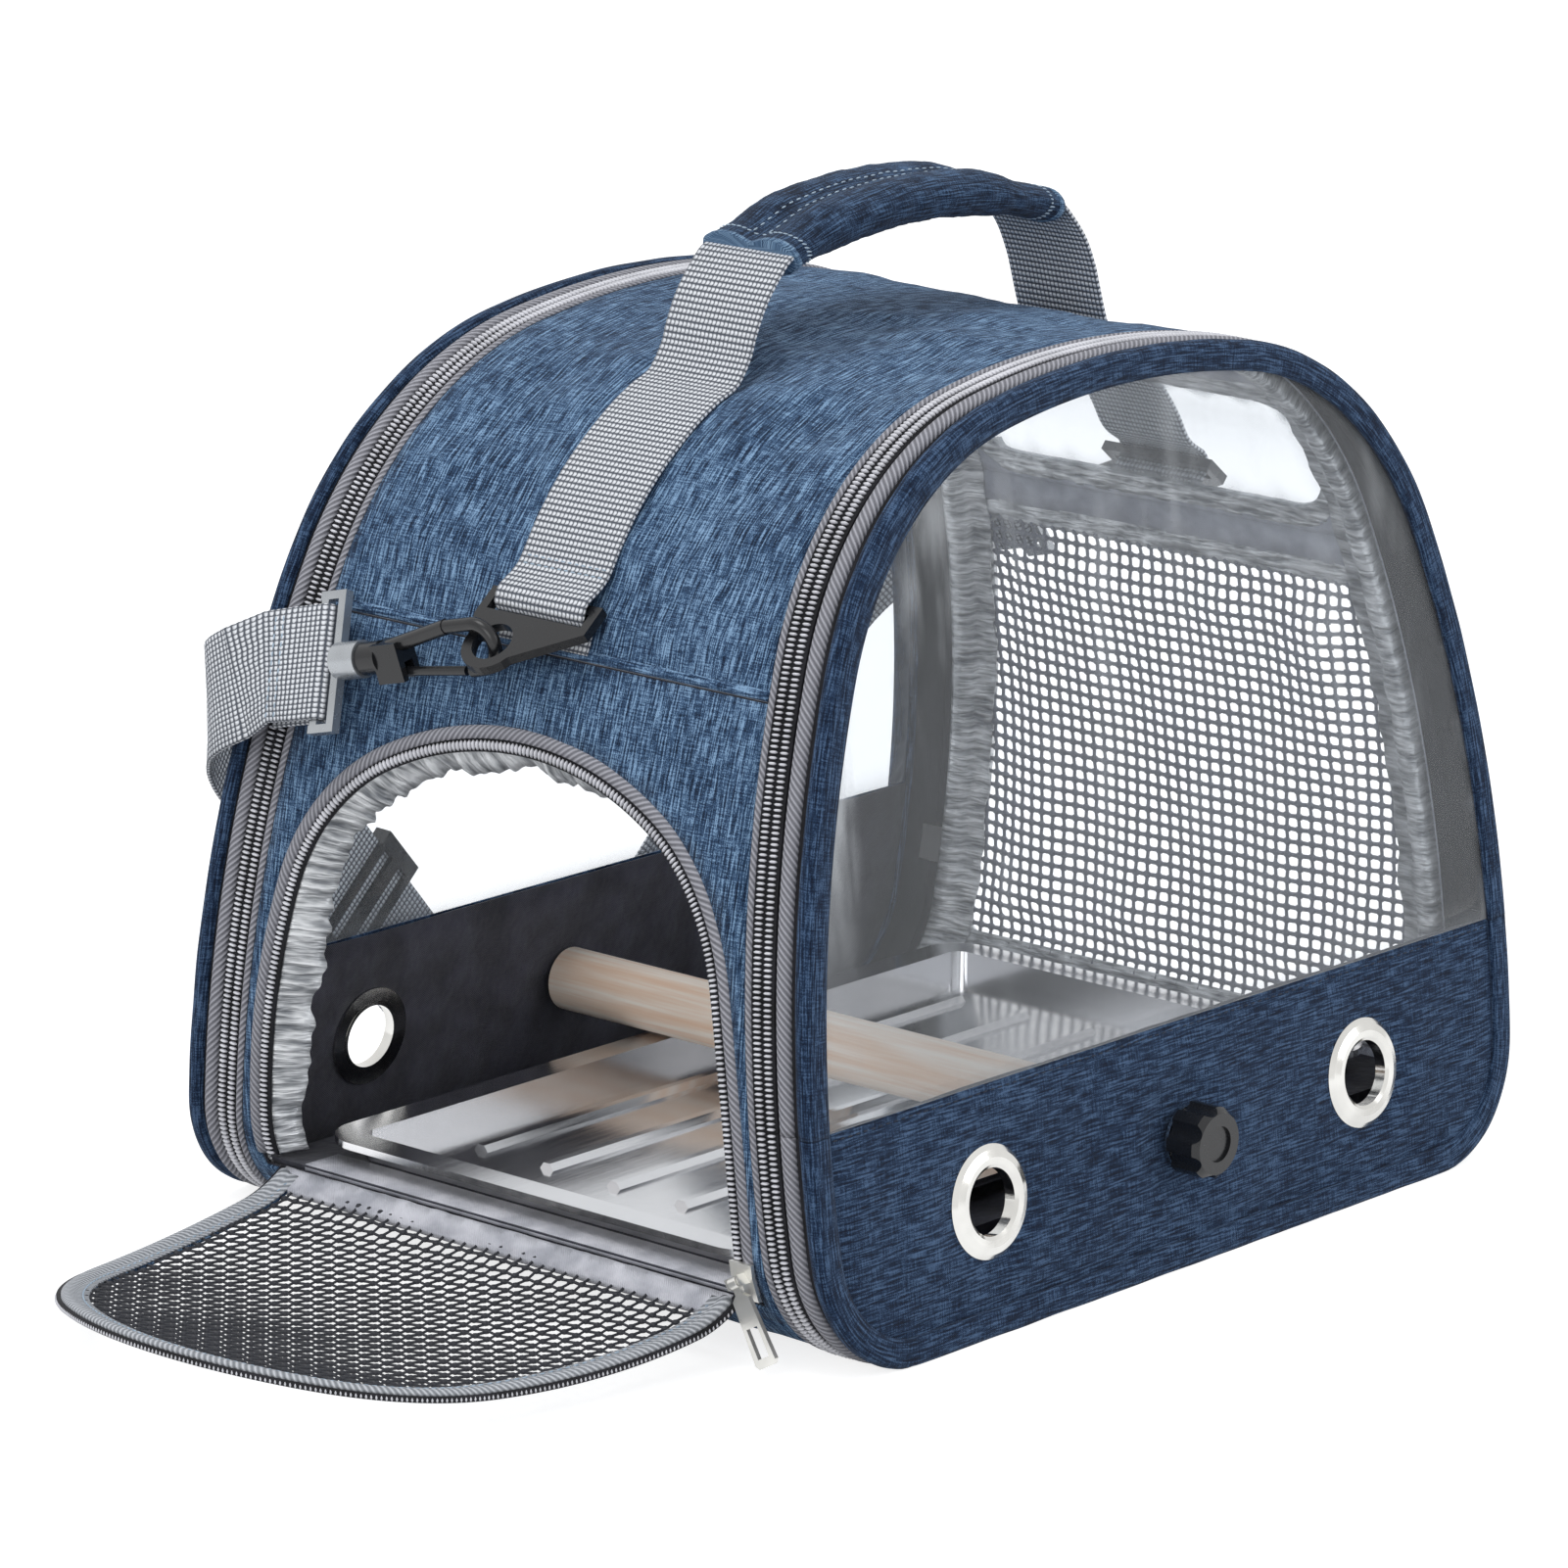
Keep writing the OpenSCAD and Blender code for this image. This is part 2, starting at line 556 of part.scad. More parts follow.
// ---- Webbing: a flat ribbon through a list of points, t thick
function unit(v) = v/norm(v);
function run_dir(p, i) = unit(p[min(i + 1, len(p) - 1)] - p[max(i - 1, 0)]);
function side_pts(p, d) = [for (i = [0:len(p) - 1]) let (t = run_dir(p, i)) p[i] + d*[-t[1], t[0]]];
function reversed(v) = [for (i = [len(v) - 1:-1:0]) v[i]];
function ribbon(p, t) = concat(side_pts(p, t/2), reversed(side_pts(p, -t/2)));

// the strap ring hangs on the webbing just above the seam
ring_z = seam_z + 14;
ring_t = asin((ring_z - shoulder_mid[1])/shoulder_r);
ring_up = 3.9;
// a point on the end wall, s above the ring along the fabric and o outside it
function on_wall(s, o) = let (below_top = (ring_t - bow_top)*PI/180*shoulder_r + s)
  below_top >= 0 ? wall_at(ring_t + s/shoulder_r*180/PI, o)
                 : wall_at(bow_top + below_top/bow_r*180/PI, o);
function anchor_t(x) = acos((x - shoulder_mid[0])/shoulder_r);
web_o = gap + web_t/2;
bar_o = ring_up + ring_bar/2 + 0.6 + web_t/2;
tail_s = -(ring_z - seam_z) + 1;
function side_path(x) = let (top = anchor_t(x) + 3, bottom = ring_t + 14/shoulder_r*180/PI) concat(
  [for (i = [0:7]) wall_at(top + (bottom - top)*i/7, web_o)],
  [on_wall(9, web_o + 1.4), on_wall(4.5, bar_o - 1.6), on_wall(2, bar_o), on_wall(-1.8, bar_o),
   on_wall(-3.9, bar_o - 1.6), on_wall(-4.7, web_o + 1.6), on_wall(-6.4, web_o), on_wall(tail_s, web_o)]);
module flat_web(p, w, t) rotate([90, 0, 0]) linear_extrude(w, center = true) polygon(ribbon(p, t));
handle_shift = 8;
right_anchor = anchor_x + handle_shift;
left_anchor = anchor_x - handle_shift;
module right_webbing() color("gray") flat_web(side_path(right_anchor), web_w, web_t);
module left_webbing() color("gray") mirror([1, 0, 0]) flat_web(side_path(left_anchor), web_w, web_t);

// ---- Handle: webbing that rises from both anchors through a grip of two padded rolls
grip_z = body_h + handle_rise - grip_r - 0.4;
grip_sag = 10;
grip_arc = (grip_l*grip_l + grip_sag*grip_sag)/(2*grip_sag);
grip_turn = asin(grip_l/grip_arc);
function anchor_z(x) = wall_at(anchor_t(x), gap + web_t)[1];
axis_z = max(anchor_z(right_anchor), anchor_z(left_anchor)) + 1.2;
rise = grip_z - grip_sag - axis_z;
// from an anchor up to the end of the grip, s = -1 for the left one
function riser(x, s) = let (e = handle_shift + s*grip_l)
  [[s*x, anchor_z(x) - 1], [s*x, axis_z + 4], [s*x*0.88 + e*0.12, axis_z + rise*0.32],
   [s*x*0.62 + e*0.38, axis_z + rise*0.62], [s*x*0.25 + e*0.75, axis_z + rise*0.88]];
handle_path = concat(riser(left_anchor, -1),
  [for (i = [-5:5]) let (t = i/5*grip_turn) [handle_shift + grip_arc*sin(t), grip_z - grip_arc*(1 - cos(t))]],
  reversed(riser(right_anchor, 1)));
// each foot is cut to a point, so that the handle can flop to both sides
function foot_z(x) = anchor_z(x) + 2*gap;
module foot_cut(x, s) intersection() {
  along_x([[-far, foot_z(x) + far*tan(flop + 1)], [0, foot_z(x)],
    [far, foot_z(x) + far*tan(flop + 1)], [far, 0], [-far, 0]]);
  translate([s > 0 ? handle_shift : handle_shift - far, -far, 0]) cube([far, 2*far, far]);
}
module handle_webbing() color("gray") difference() {
  flat_web(handle_path, web_w, web_t);
  foot_cut(left_anchor, -1);
  foot_cut(right_anchor, 1);
}
roll_y = grip_r + 0.2;
module handle_grip() color("steelblue") translate([handle_shift, 0, grip_z - grip_arc])
  rotate([90, 0, 0]) rotate(90 - grip_turn + 0.6) rotate_extrude(angle = 2*grip_turn - 1.2) difference() {
    for (s = [-1, 1]) translate([grip_arc, s*roll_y]) circle(r = grip_r + 0.4);
    translate([grip_arc - web_t/2 - gap, -web_w/2 - gap]) square([web_t + 2*gap, web_w + 2*gap]);
  }

// ---- Strap ring, snap hook and swivel. They are drawn at the right end and mirrored
function rx(v, a) = [v[0], v[1]*cos(a) - v[2]*sin(a), v[1]*sin(a) + v[2]*cos(a)];
function ry(v, a) = [v[0]*cos(a) + v[2]*sin(a), v[1], -v[0]*sin(a) + v[2]*cos(a)];
function rz(v, a) = [v[0]*cos(a) - v[1]*sin(a), v[0]*sin(a) + v[1]*cos(a), v[2]];
ring_lean = 28;
hole_y = 9;
hole_z = -19;
hole_r = 7.2;
hook_down = 13.5;
hook_in = 3;
hook_roll = 122;
ring_root = wall_at(ring_t, 0);
module at_wall() translate([ring_root[0], 0, ring_root[1]]) rotate([0, -ring_t, 0]) children();
module at_ring() at_wall() translate([ring_up, 0, 0]) rotate([0, -ring_lean, 0]) children();
hook_root = [ring_up, 0, 0] + ry([0, hole_y, hole_z], -ring_lean);
module at_strap_end() at_wall() translate(hook_root) rotate([0, 0, hook_in])
  rotate([-hook_down, 0, 0]) rotate([0, 0, 90]) children();
module at_hook() at_strap_end() rotate([hook_roll, 0, 0]) children();
function strap_end_dir(v) = ry(rz(rx(rz(v, 90), -hook_down), hook_in), -ring_t);
function strap_end_at(v) = [ring_root[0], 0, ring_root[1]] + ry(hook_root, -ring_t) + strap_end_dir(v);

ring_w = web_w + 9;
ring_t2 = 3.4;
ring_lobe = 11;
// the plate narrows from the webbing's slot to the round lobe of the hook's hole
ring_outline = concat([[ring_w/2, ring_bar/2], [-ring_w/2, ring_bar/2], [-ring_w/2, -9.5]],
  arc_pts([hole_y, hole_z], ring_lobe, 205, 365, 12), [[ring_w/2, -9.5]]);
module ring_plate() at_ring() translate([-ring_t2/2, 0, 0]) rotate([90, 0, 90]) linear_extrude(ring_t2)
  difference() {
    polygon(ring_outline);
    translate([-web_w/2 - 1.2, -7]) square([web_w + 2.4, 7 - ring_bar/2]);
    translate([hole_y, hole_z]) circle(r = hole_r);
  }
module both_sides(s) mirror([s < 0 ? 1 : 0, 0, 0]) children();
module right_ring() color([0.1, 0.1, 0.1]) ring_plate();
module left_ring() color([0.1, 0.1, 0.1]) both_sides(-1) ring_plate();

// a straight rod between two points in the hook's own plane
module rod(a, b, r) translate(a) let (d = b - a)
  rotate([0, 0, atan2(d[1], d[0])]) rotate([0, 90, 0]) cylinder(r = r, h = norm(d));
bowl_r = 7.5;
hook_r = hook_wire/2;
collar_x = 48;
swivel_x = 56.4;
stud_r = 2;
gate_pin = [43, -5.2, 0];
module hook() {
  translate([bowl_r, 0, 0]) rotate(90) rotate_extrude(angle = 180) translate([bowl_r, 0]) circle(r = hook_r);
  rod([bowl_r, -bowl_r, 0], [bowl_r + 4.5, -bowl_r, 0], hook_r);
  rod([bowl_r, bowl_r, 0], [18, bowl_r, 0], hook_r);
  translate([18, bowl_r, 0]) sphere(r = hook_r);
  rod([18, bowl_r, 0], [44, 3, 0], hook_r + 0.3);
  translate([38, -2, -4.4]) cube([collar_x - 37, 7, 8.8]);
  for (s = [-1, 1]) translate([38, -8, s*3.2 - 1.2]) cube([collar_x - 37, 8, 2.4]);
  translate([gate_pin[0], gate_pin[1], -4]) cylinder(r = 1, h = 8);
  rod([collar_x, 0, 0], [swivel_x - 0.4, 0, 0], 5.4);
  rod([swivel_x - 1, 0, 0], [swivel_x + 7, 0, 0], stud_r);
}
module gate() difference() {
  union() {
    translate([gate_pin[0], gate_pin[1], -1.7]) cylinder(r = 2.4, h = 3.4);
    rod([bowl_r + 4.5 + hook_r, -bowl_r, 0], gate_pin, 1.6);
  }
  translate([gate_pin[0], gate_pin[1], -5]) cylinder(r = 1.05, h = 10);
}
module right_hook() color([0.1, 0.1, 0.1]) at_hook() hook();
module left_hook() color([0.1, 0.1, 0.1]) both_sides(-1) at_hook() hook();
module right_gate() color([0.2, 0.2, 0.2]) at_hook() gate();
module left_gate() color([0.2, 0.2, 0.2]) both_sides(-1) at_hook() gate();

bracket_x = swivel_x + 9.6;
bracket_w = web_w + 9;
bar_x = bracket_x + 9;
module swivel() at_strap_end() difference() {
  union() {
    rod([swivel_x, 0, 0], [bracket_x + 1, 0, 0], 6.2);
    translate([bracket_x, -1.7, -bracket_w/2]) cube([3, 3.4, bracket_w]);
    for (s = [-1, 1]) translate([bracket_x, -1.7, s*(bracket_w/2 - 1.4) - 1.4]) cube([11, 3.4, 2.8]);
    translate([bar_x - 1.5, -1.7, -bracket_w/2]) cube([3, 3.4, bracket_w]);
  }
  rod([swivel_x - 1, 0, 0], [swivel_x + 7.6, 0, 0], stud_r + 0.05);
}
module right_swivel() color("silver") swivel();
module left_swivel() color("silver") both_sides(-1) swivel();

// ---- Shoulder strap: one flat ribbon from bracket to bracket behind the bag
strap_t = 1.6;
// the loop sewn round the bracket's bar, in the bracket's frame, from its inner end
loop_r = 1.7 + 0.35 + strap_t/2;
loop_pts = concat([[bar_x + 22, loop_r, 0], [bar_x + 10, loop_r, 0]],
  [for (i = [0:6]) [bar_x - 0.6 - loop_r*sin(i*30), loop_r*cos(i*30), 0]],
  [[bar_x + 10, -loop_r, 0], [bar_x + 22, -loop_r, 0]]);
// the free run, from the right bracket to the middle of the back
run_ends = [[178, 115, 183], [176, 128, 176], [168, 137.5, 168], [154, 142, 155], [136, 143.5, 137],
  [118, 144, 117], [98, 146, 95.7], [78, 148, 74.3], [58, 150, 53], [38, 153, 36], [18, 156.5, 26],
  [0, 158, 23]];
face_ends = [[1, 0.1, 0.2], [1, 0.35, 0.15], [0.75, 0.65, 0.1], [0.35, 0.95, 0.05], [0.1, 1, 0], [0, 1, 0],
  [0, 1, 0], [0, 1, 0], [0, 1, 0], [0, 1, 0], [0, 1, 0], [0, 1, 0]];
// a smooth curve through the points, cut into four steps between each two
function bend(a, b, c, d, t) = b + (c - a)*t/2 + (2*a - 5*b + 4*c - d)*t*t/2 + (3*(b - c) + d - a)*t*t*t/2;
function smooth(p, last) = concat([for (i = [0:len(p) - 2], k = [0:3])
  bend(p[max(i - 1, 0)], p[i], p[i + 1], i + 2 < len(p) ? p[i + 2] : last, k/4)], [p[len(p) - 1]]);
strap_run = smooth(run_ends, [-18, 156.5, 26]);
strap_face = smooth(face_ends, [0, 1, 0]);
loop_world = [for (p = loop_pts) strap_end_at(p)];
loop_wide = strap_end_dir([0, 0, 1]);
half_run = concat(loop_world, strap_run);
function half_wide(i) = i < len(loop_world) ? loop_wide
  : unit(cross(strap_face[i - len(loop_world)], run_dir(half_run, i)));
half_wides = [for (i = [0:len(half_run) - 1]) half_wide(i)];
function flipped(v) = [for (i = [len(v) - 2:-1:0]) [-v[i][0], v[i][1], v[i][2]]];
strap_pts = concat(half_run, flipped(half_run));
strap_wides = concat(half_wides, flipped(half_wides));
module ribbon_solid(p, wide, w, t) let (n = len(p), pts = [for (i = [0:n - 1])
    let (d = run_dir(p, i), v = unit(wide[i] - (wide[i]*d)*d), u = cross(d, v))
    each [p[i] + v*w/2 + u*t/2, p[i] - v*w/2 + u*t/2, p[i] - v*w/2 - u*t/2, p[i] + v*w/2 - u*t/2]])
  polyhedron(pts, concat([[0, 1, 2], [0, 2, 3]],
    [for (i = [0:n - 2], k = [0:3]) let (a = 4*i + k, b = 4*i + (k + 1)%4)
      each k < 2 ? [[a, b + 4, b], [a, a + 4, b + 4]] : [[a, a + 4, b], [b, a + 4, b + 4]]],
    [[4*n - 4, 4*n - 2, 4*n - 3], [4*n - 4, 4*n - 1, 4*n - 2]]));
module shoulder_strap() color("gray") ribbon_solid(strap_pts, strap_wides, web_w, strap_t);

// the adjuster slides on the straight run behind the bag, on the left
slide_from = [-118, 144, 117];
slide_to = [-58, 150, 53];
slide_dir = unit(slide_to - slide_from);
slide_mid = (slide_from + slide_to)/2;
slide_up = unit(cross([0, 1, 0], -slide_dir));
slide_out = cross(slide_up, slide_dir);
module strap_slide() color([0.1, 0.1, 0.1])
  multmatrix([for (i = [0:2]) [slide_dir[i], slide_out[i], slide_up[i], slide_mid[i]]])
  difference() {
    translate([-11, -3.2, -web_w/2 - 4.5]) cube([22, 6.4, web_w + 9]);
    translate([-20, -strap_t/2 - gap, -web_w/2 - gap]) cube([40, strap_t + 2*gap, web_w + 2*gap]);
    for (s = [-1, 1]) translate([s*5.5 - 3, -8, -web_w/2 + 1]) cube([6, 16, web_w - 2]);
  }

floor_panel();
door_end_panel();
vent_end_panel();
roof_panel();
inner_lining();
base_board();
front_hoop();
back_hoop();
front_edge_binding();
back_edge_binding();
front_zip_outer();
back_zip_outer();
front_band();
back_band();
front_band_piping();
front_band_zip();
back_piping();
back_zip_inner();
back_window();
front_window();
front_window_piping();
front_window_zip();
front_eyelets();
back_eyelets();
perch();
front_perch_screw();
back_perch_screw();
perch_washers();
front_knob();
back_knob();
tray();
door_zip_outer();
door_reveal();
door_flap_zip();
door_flap_binding();
door_net();
door_slider();
door_pull();
front_slider();
front_pull();
back_slider();
back_pull();
vent_net();
vent_binding();
roof_window();
roof_window_binding();
left_webbing();
right_webbing();
handle_webbing();
handle_grip();
left_ring();
right_ring();
left_hook();
right_hook();
left_gate();
right_gate();
left_swivel();
right_swivel();
shoulder_strap();
strap_slide();
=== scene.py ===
"""A soft travel carrier for birds: an arched bag with clear panels, a net door flap,
a wooden perch, a steel tray, a carry handle and a shoulder strap hooked on at both ends."""
import math
from bisect import bisect_right

import bpy
import numpy as np
from mathutils import Matrix, Vector, noise
from mathutils.geometry import delaunay_2d_cdt


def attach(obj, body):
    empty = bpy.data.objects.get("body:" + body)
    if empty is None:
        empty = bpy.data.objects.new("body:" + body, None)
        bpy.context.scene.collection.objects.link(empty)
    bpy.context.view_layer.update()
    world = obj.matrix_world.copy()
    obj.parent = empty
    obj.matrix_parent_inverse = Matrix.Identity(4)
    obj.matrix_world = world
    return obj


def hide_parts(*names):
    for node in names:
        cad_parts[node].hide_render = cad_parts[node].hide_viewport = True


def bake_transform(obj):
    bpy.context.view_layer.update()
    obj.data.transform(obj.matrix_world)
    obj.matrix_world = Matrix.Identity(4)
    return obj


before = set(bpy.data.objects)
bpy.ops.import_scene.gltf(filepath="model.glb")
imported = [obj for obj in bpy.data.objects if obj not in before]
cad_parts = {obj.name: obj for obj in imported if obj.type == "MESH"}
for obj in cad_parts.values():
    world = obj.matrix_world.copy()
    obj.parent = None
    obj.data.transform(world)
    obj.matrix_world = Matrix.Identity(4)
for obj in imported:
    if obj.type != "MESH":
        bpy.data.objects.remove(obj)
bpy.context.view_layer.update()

MM = 0.001


def new_object(name, data):
    made = bpy.data.objects.new(name, data)
    bpy.context.scene.collection.objects.link(made)
    return made


# -------- camera
PHOTO_SIDE = 1601
FOCAL_PIXELS = 7793
SENSOR = 36.0
AZIMUTH, ELEVATION, ROLL = (math.radians(a) for a in (-48.817, 14.492, 0.538))
AIM = Vector((-19.776, 17.843, 136.586))*MM
AWAY = 2535.3*MM


def place_camera():
    """Stands the camera where the photograph was taken from."""
    right = Vector((math.cos(AZIMUTH), math.sin(AZIMUTH), 0))
    level = math.cos(ELEVATION)
    back = Vector((math.sin(AZIMUTH)*level, -math.cos(AZIMUTH)*level, math.sin(ELEVATION)))
    up = back.cross(right)
    turned = right*math.cos(ROLL) + up*math.sin(ROLL)
    upright = up*math.cos(ROLL) - right*math.sin(ROLL)
    data = bpy.data.cameras.new("camera")
    data.sensor_width = SENSOR
    data.lens = SENSOR*FOCAL_PIXELS/PHOTO_SIDE
    data.clip_end = 50
    camera = new_object("camera", data)
    spot = AIM + back*AWAY
    camera.matrix_world = Matrix((
        (turned.x, upright.x, back.x, spot.x),
        (turned.y, upright.y, back.y, spot.y),
        (turned.z, upright.z, back.z, spot.z),
        (0, 0, 0, 1)))
    bpy.context.scene.camera = camera


place_camera()

# -------- sizes, in millimetres
BODY_W, BODY_D, BODY_H = 360, 288, 297
LEAN = math.tan(math.radians(6.5))
CORNER_R, CORNER_TURN, BOW_R = 43, math.radians(4.5), 402
SHOULDER_R, CROWN_RISE = 116, 4
SEAM_Z, SILL_Z, BAND_H = 208, 19, 80
PIPING_D, TAPE_W, CHAIN_W, GAP, HEM = 6, 8.5, 4, 0.3, 3
SKIN_A = PIPING_D + TAPE_W + 2*CHAIN_W + GAP + HEM
DOOR = dict(width=220, height=165, corner_r=0, corner_turn=0, bow_r=420, shoulder_r=75, rise=6)
DOOR_OPEN = math.radians(92.7)
HINGE_X, HINGE_Z = -172.792, 19.4
BINDING_W = 7
VENT_LO, VENT_HI = SILL_Z + 5, SEAM_Z - 11
SKY_W, SKY_LO, SKY_HI = 84, SEAM_Z + 2, BODY_H - 32
EYELET_X, PERCH_Z = 97, 43
EYELET_HOLE_R, SCREW_HOLE_R = 12.4, 3.7
ANCHOR_X, HANDLE_SHIFT = 88, 8
GRIP_L, GRIP_R, GRIP_SAG, GRIP_TOP = 68, 10, 10, 344
WEB_W, WEB_T = 38, 1.6


def front_y(z):
    """The front panel's outer face at a height."""
    return -BODY_D/2 + z*LEAN


# -------- outlines
def arc(centre, radius, start, end, step):
    """Points of an arc with their outward normals."""
    count = max(3, math.ceil(abs(end - start)*radius/step))
    for i in range(count + 1):
        t = start + (end - start)*i/count
        c, s = math.cos(t), math.sin(t)
        yield (centre[0] + radius*c, centre[1] + radius*s, c, s)


def half_arch(width, height, corner_r, corner_turn, bow_r, shoulder_r, rise, step=3.0):
    """Points with outward normals, from the bottom corner over the bow and shoulder to the crown."""
    bow = (width/2 - bow_r, corner_r + (bow_r - corner_r)*math.sin(corner_turn))
    corner = (bow[0] + (bow_r - corner_r)*math.cos(corner_turn), corner_r)
    top = math.asin((height - shoulder_r - rise - bow[1])/(bow_r - shoulder_r))
    shoulder = (bow[0] + (bow_r - shoulder_r)*math.cos(top), bow[1] + (bow_r - shoulder_r)*math.sin(top))
    reach = (rise*rise + shoulder[0]**2)/(2*rise)
    crown = (0, height - shoulder_r - reach)
    turn = math.atan2(shoulder[1] - crown[1], shoulder[0])
    points = [(bow[0] + bow_r, 0, 1, 0)]
    if corner_r:
        points = list(arc(corner, corner_r, -math.pi/2, -corner_turn, step))
    for part in (arc(bow, bow_r, -corner_turn, top, step), arc(shoulder, shoulder_r, top, turn, step),
                 arc(crown, reach + shoulder_r, turn, math.pi/2, step)):
        points += list(part)[1:]
    return points, dict(bow=bow, shoulder=shoulder, top=top)


def mirrored(half):
    """The right half of an arch made whole."""
    return half + [(-x, z, -a, b) for x, z, a, b in reversed(half[:-1])]


class Route:
    """A flat curve with normals that is looked up by its length from the start."""
    def __init__(self, points, closed=False):
        self.points = points + points[:1] if closed else points
        self.closed = closed
        self.lengths = [0.0]
        for a, b in zip(self.points, self.points[1:]):
            self.lengths.append(self.lengths[-1] + math.dist(a[:2], b[:2]))
        self.total = self.lengths[-1]

    def at(self, s):
        s = s % self.total if self.closed else min(max(s, 0), self.total)
        i = min(max(bisect_right(self.lengths, s) - 1, 0), len(self.points) - 2)
        span = self.lengths[i + 1] - self.lengths[i] or 1
        k = (s - self.lengths[i])/span
        a, b = self.points[i], self.points[i + 1]
        nx, nz = a[2] + (b[2] - a[2])*k, a[3] + (b[3] - a[3])*k
        size = math.hypot(nx, nz) or 1
        return (a[0] + (b[0] - a[0])*k, a[1] + (b[1] - a[1])*k, nx/size, nz/size)

    def steps(self, start, end, step):
        count = max(2, round((end - start)/step))
        return [start + (end - start)*i/count for i in range(count + 1)]


HALF, MARKS = half_arch(BODY_W, BODY_H, CORNER_R, CORNER_TURN, BOW_R, SHOULDER_R, CROWN_RISE)
FLAT = HALF[0][0]
FLOOR_LINE = [(-FLAT + 2*FLAT*i/60, 0, 0, -1) for i in range(1, 60)]
BAG = Route(mirrored(HALF) + FLOOR_LINE, closed=True)
ARCH_LENGTH = Route(mirrored(HALF)).total
RISING = [(z, s) for (x, z, a, b), s in zip(BAG.points, BAG.lengths) if s < ARCH_LENGTH/2]


def s_at(z):
    """Length along the bag's outline where its right end reaches a height."""
    i = min(max(bisect_right([r[0] for r in RISING], z) - 1, 0), len(RISING) - 2)
    (z0, s0), (z1, s1) = RISING[i], RISING[i + 1]
    return s0 + (s1 - s0)*(z - z0)/((z1 - z0) or 1)


def wall_x(z, o):
    """X of the right end wall at a height, o outside its outer face."""
    x, _, nx, nz = BAG.at(s_at(z))
    x, _, nx, nz = BAG.at(s_at(z - nz*o))
    return x + nx*o


def rim_place(side):
    """Puts a point of a rim: s along the outline, a behind the panel's face, o outside the bag."""
    def place(s, a, o):
        x, z, nx, nz = BAG.at(s)
        z += nz*o
        y = front_y(z) + a
        return Vector((x + nx*o, y if side < 0 else -y, max(z, 0)))*MM
    return place


def rounded_box(half_at, low, high, radius, count=8):
    """A four-sided outline with rounded corners whose half width depends on the height."""
    points = []
    for sy, top, turn in ((1, True, 0), (-1, True, 90), (-1, False, 180), (1, False, 270)):
        z = high - radius if top else low + radius
        centre = (sy*(half_at(high if top else low) - radius), z)
        points += list(arc(centre, radius, math.radians(turn), math.radians(turn + 90), math.pi/2*radius/count))
    return points


def refined(points, step):
    """The closed outline with points added on its long straight sides."""
    out = []
    for a, b in zip(points, points[1:] + points[:1]):
        count = max(1, math.ceil(math.dist(a[:2], b[:2])/step))
        out += [tuple(a[k] + (b[k] - a[k])*i/count for k in range(len(a))) for i in range(count)]
    return out


VENT = refined(rounded_box(lambda z: -front_y(z) - SKIN_A - 8, VENT_LO, VENT_HI, 12), 4)
SKY = refined(rounded_box(lambda z: SKY_W, SKY_LO, SKY_HI, 22), 4)
DOOR_ROUTE = Route([(y, z + SILL_Z, a, b) for y, z, a, b in mirrored(half_arch(**DOOR, step=2.5)[0])])


def grown(points, o):
    """An outline moved outward by o."""
    return [(y + a*o, z + b*o) for y, z, a, b in points]


def end_place(route, side):
    """Puts a point near an outline on an end wall: l outside the outline, o outside the wall."""
    def place(s, l, o):
        y, z, ny, nz = route.at(s)
        y, z = y + ny*l, z + nz*l
        return Vector((side*wall_x(z, o), y, z))*MM
    return place


HINGE = Vector((HINGE_X, 0, HINGE_Z))*MM
OPENING = Matrix.Translation(HINGE) @ Matrix.Rotation(-DOOR_OPEN, 4, "Y") @ Matrix.Translation(-HINGE)


def opened(place):
    """What is built shut on the wall, turned down with the open door."""
    return lambda *where: OPENING @ place(*where)


# -------- meshes
def wobble(x, y, z, size):
    """Smooth noise from -1 to 1 with features about size apart."""
    return noise.noise(Vector((x, y, z))/size)


def riding(name, mesh, body, slot):
    """A finished mesh as a piece, attached to its body when it has one."""
    piece = new_object(name, mesh)
    if body:
        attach(piece, body)
    return piece


def new_piece(name, verts, faces, corners, look, body, slot):
    """A closed mesh piece with its UV map in metres, turned outward, riding on a body."""
    verts = np.array([tuple(v) for v in verts], dtype=float)
    volume = 0.0
    for f in faces:
        a, b, c = verts[f[0]], verts[f[1]], verts[f[2]]
        volume += np.dot(a, np.cross(b, c))
        if len(f) == 4:
            volume += np.dot(a, np.cross(c, verts[f[3]]))
    if volume < 0:
        faces = [tuple(reversed(f)) for f in faces]
        corners = [tuple(reversed(c)) for c in corners]
    mesh = bpy.data.meshes.new(name)
    mesh.from_pydata([tuple(v) for v in verts], [], faces)
    layer = mesh.uv_layers.new(name="UVMap")
    layer.data.foreach_set("uv", [x for c in corners for uv in c for x in uv])
    mesh.polygons.foreach_set("use_smooth", [True]*len(mesh.polygons))
    mesh.materials.append(look)
    return riding(name, mesh, body, slot)


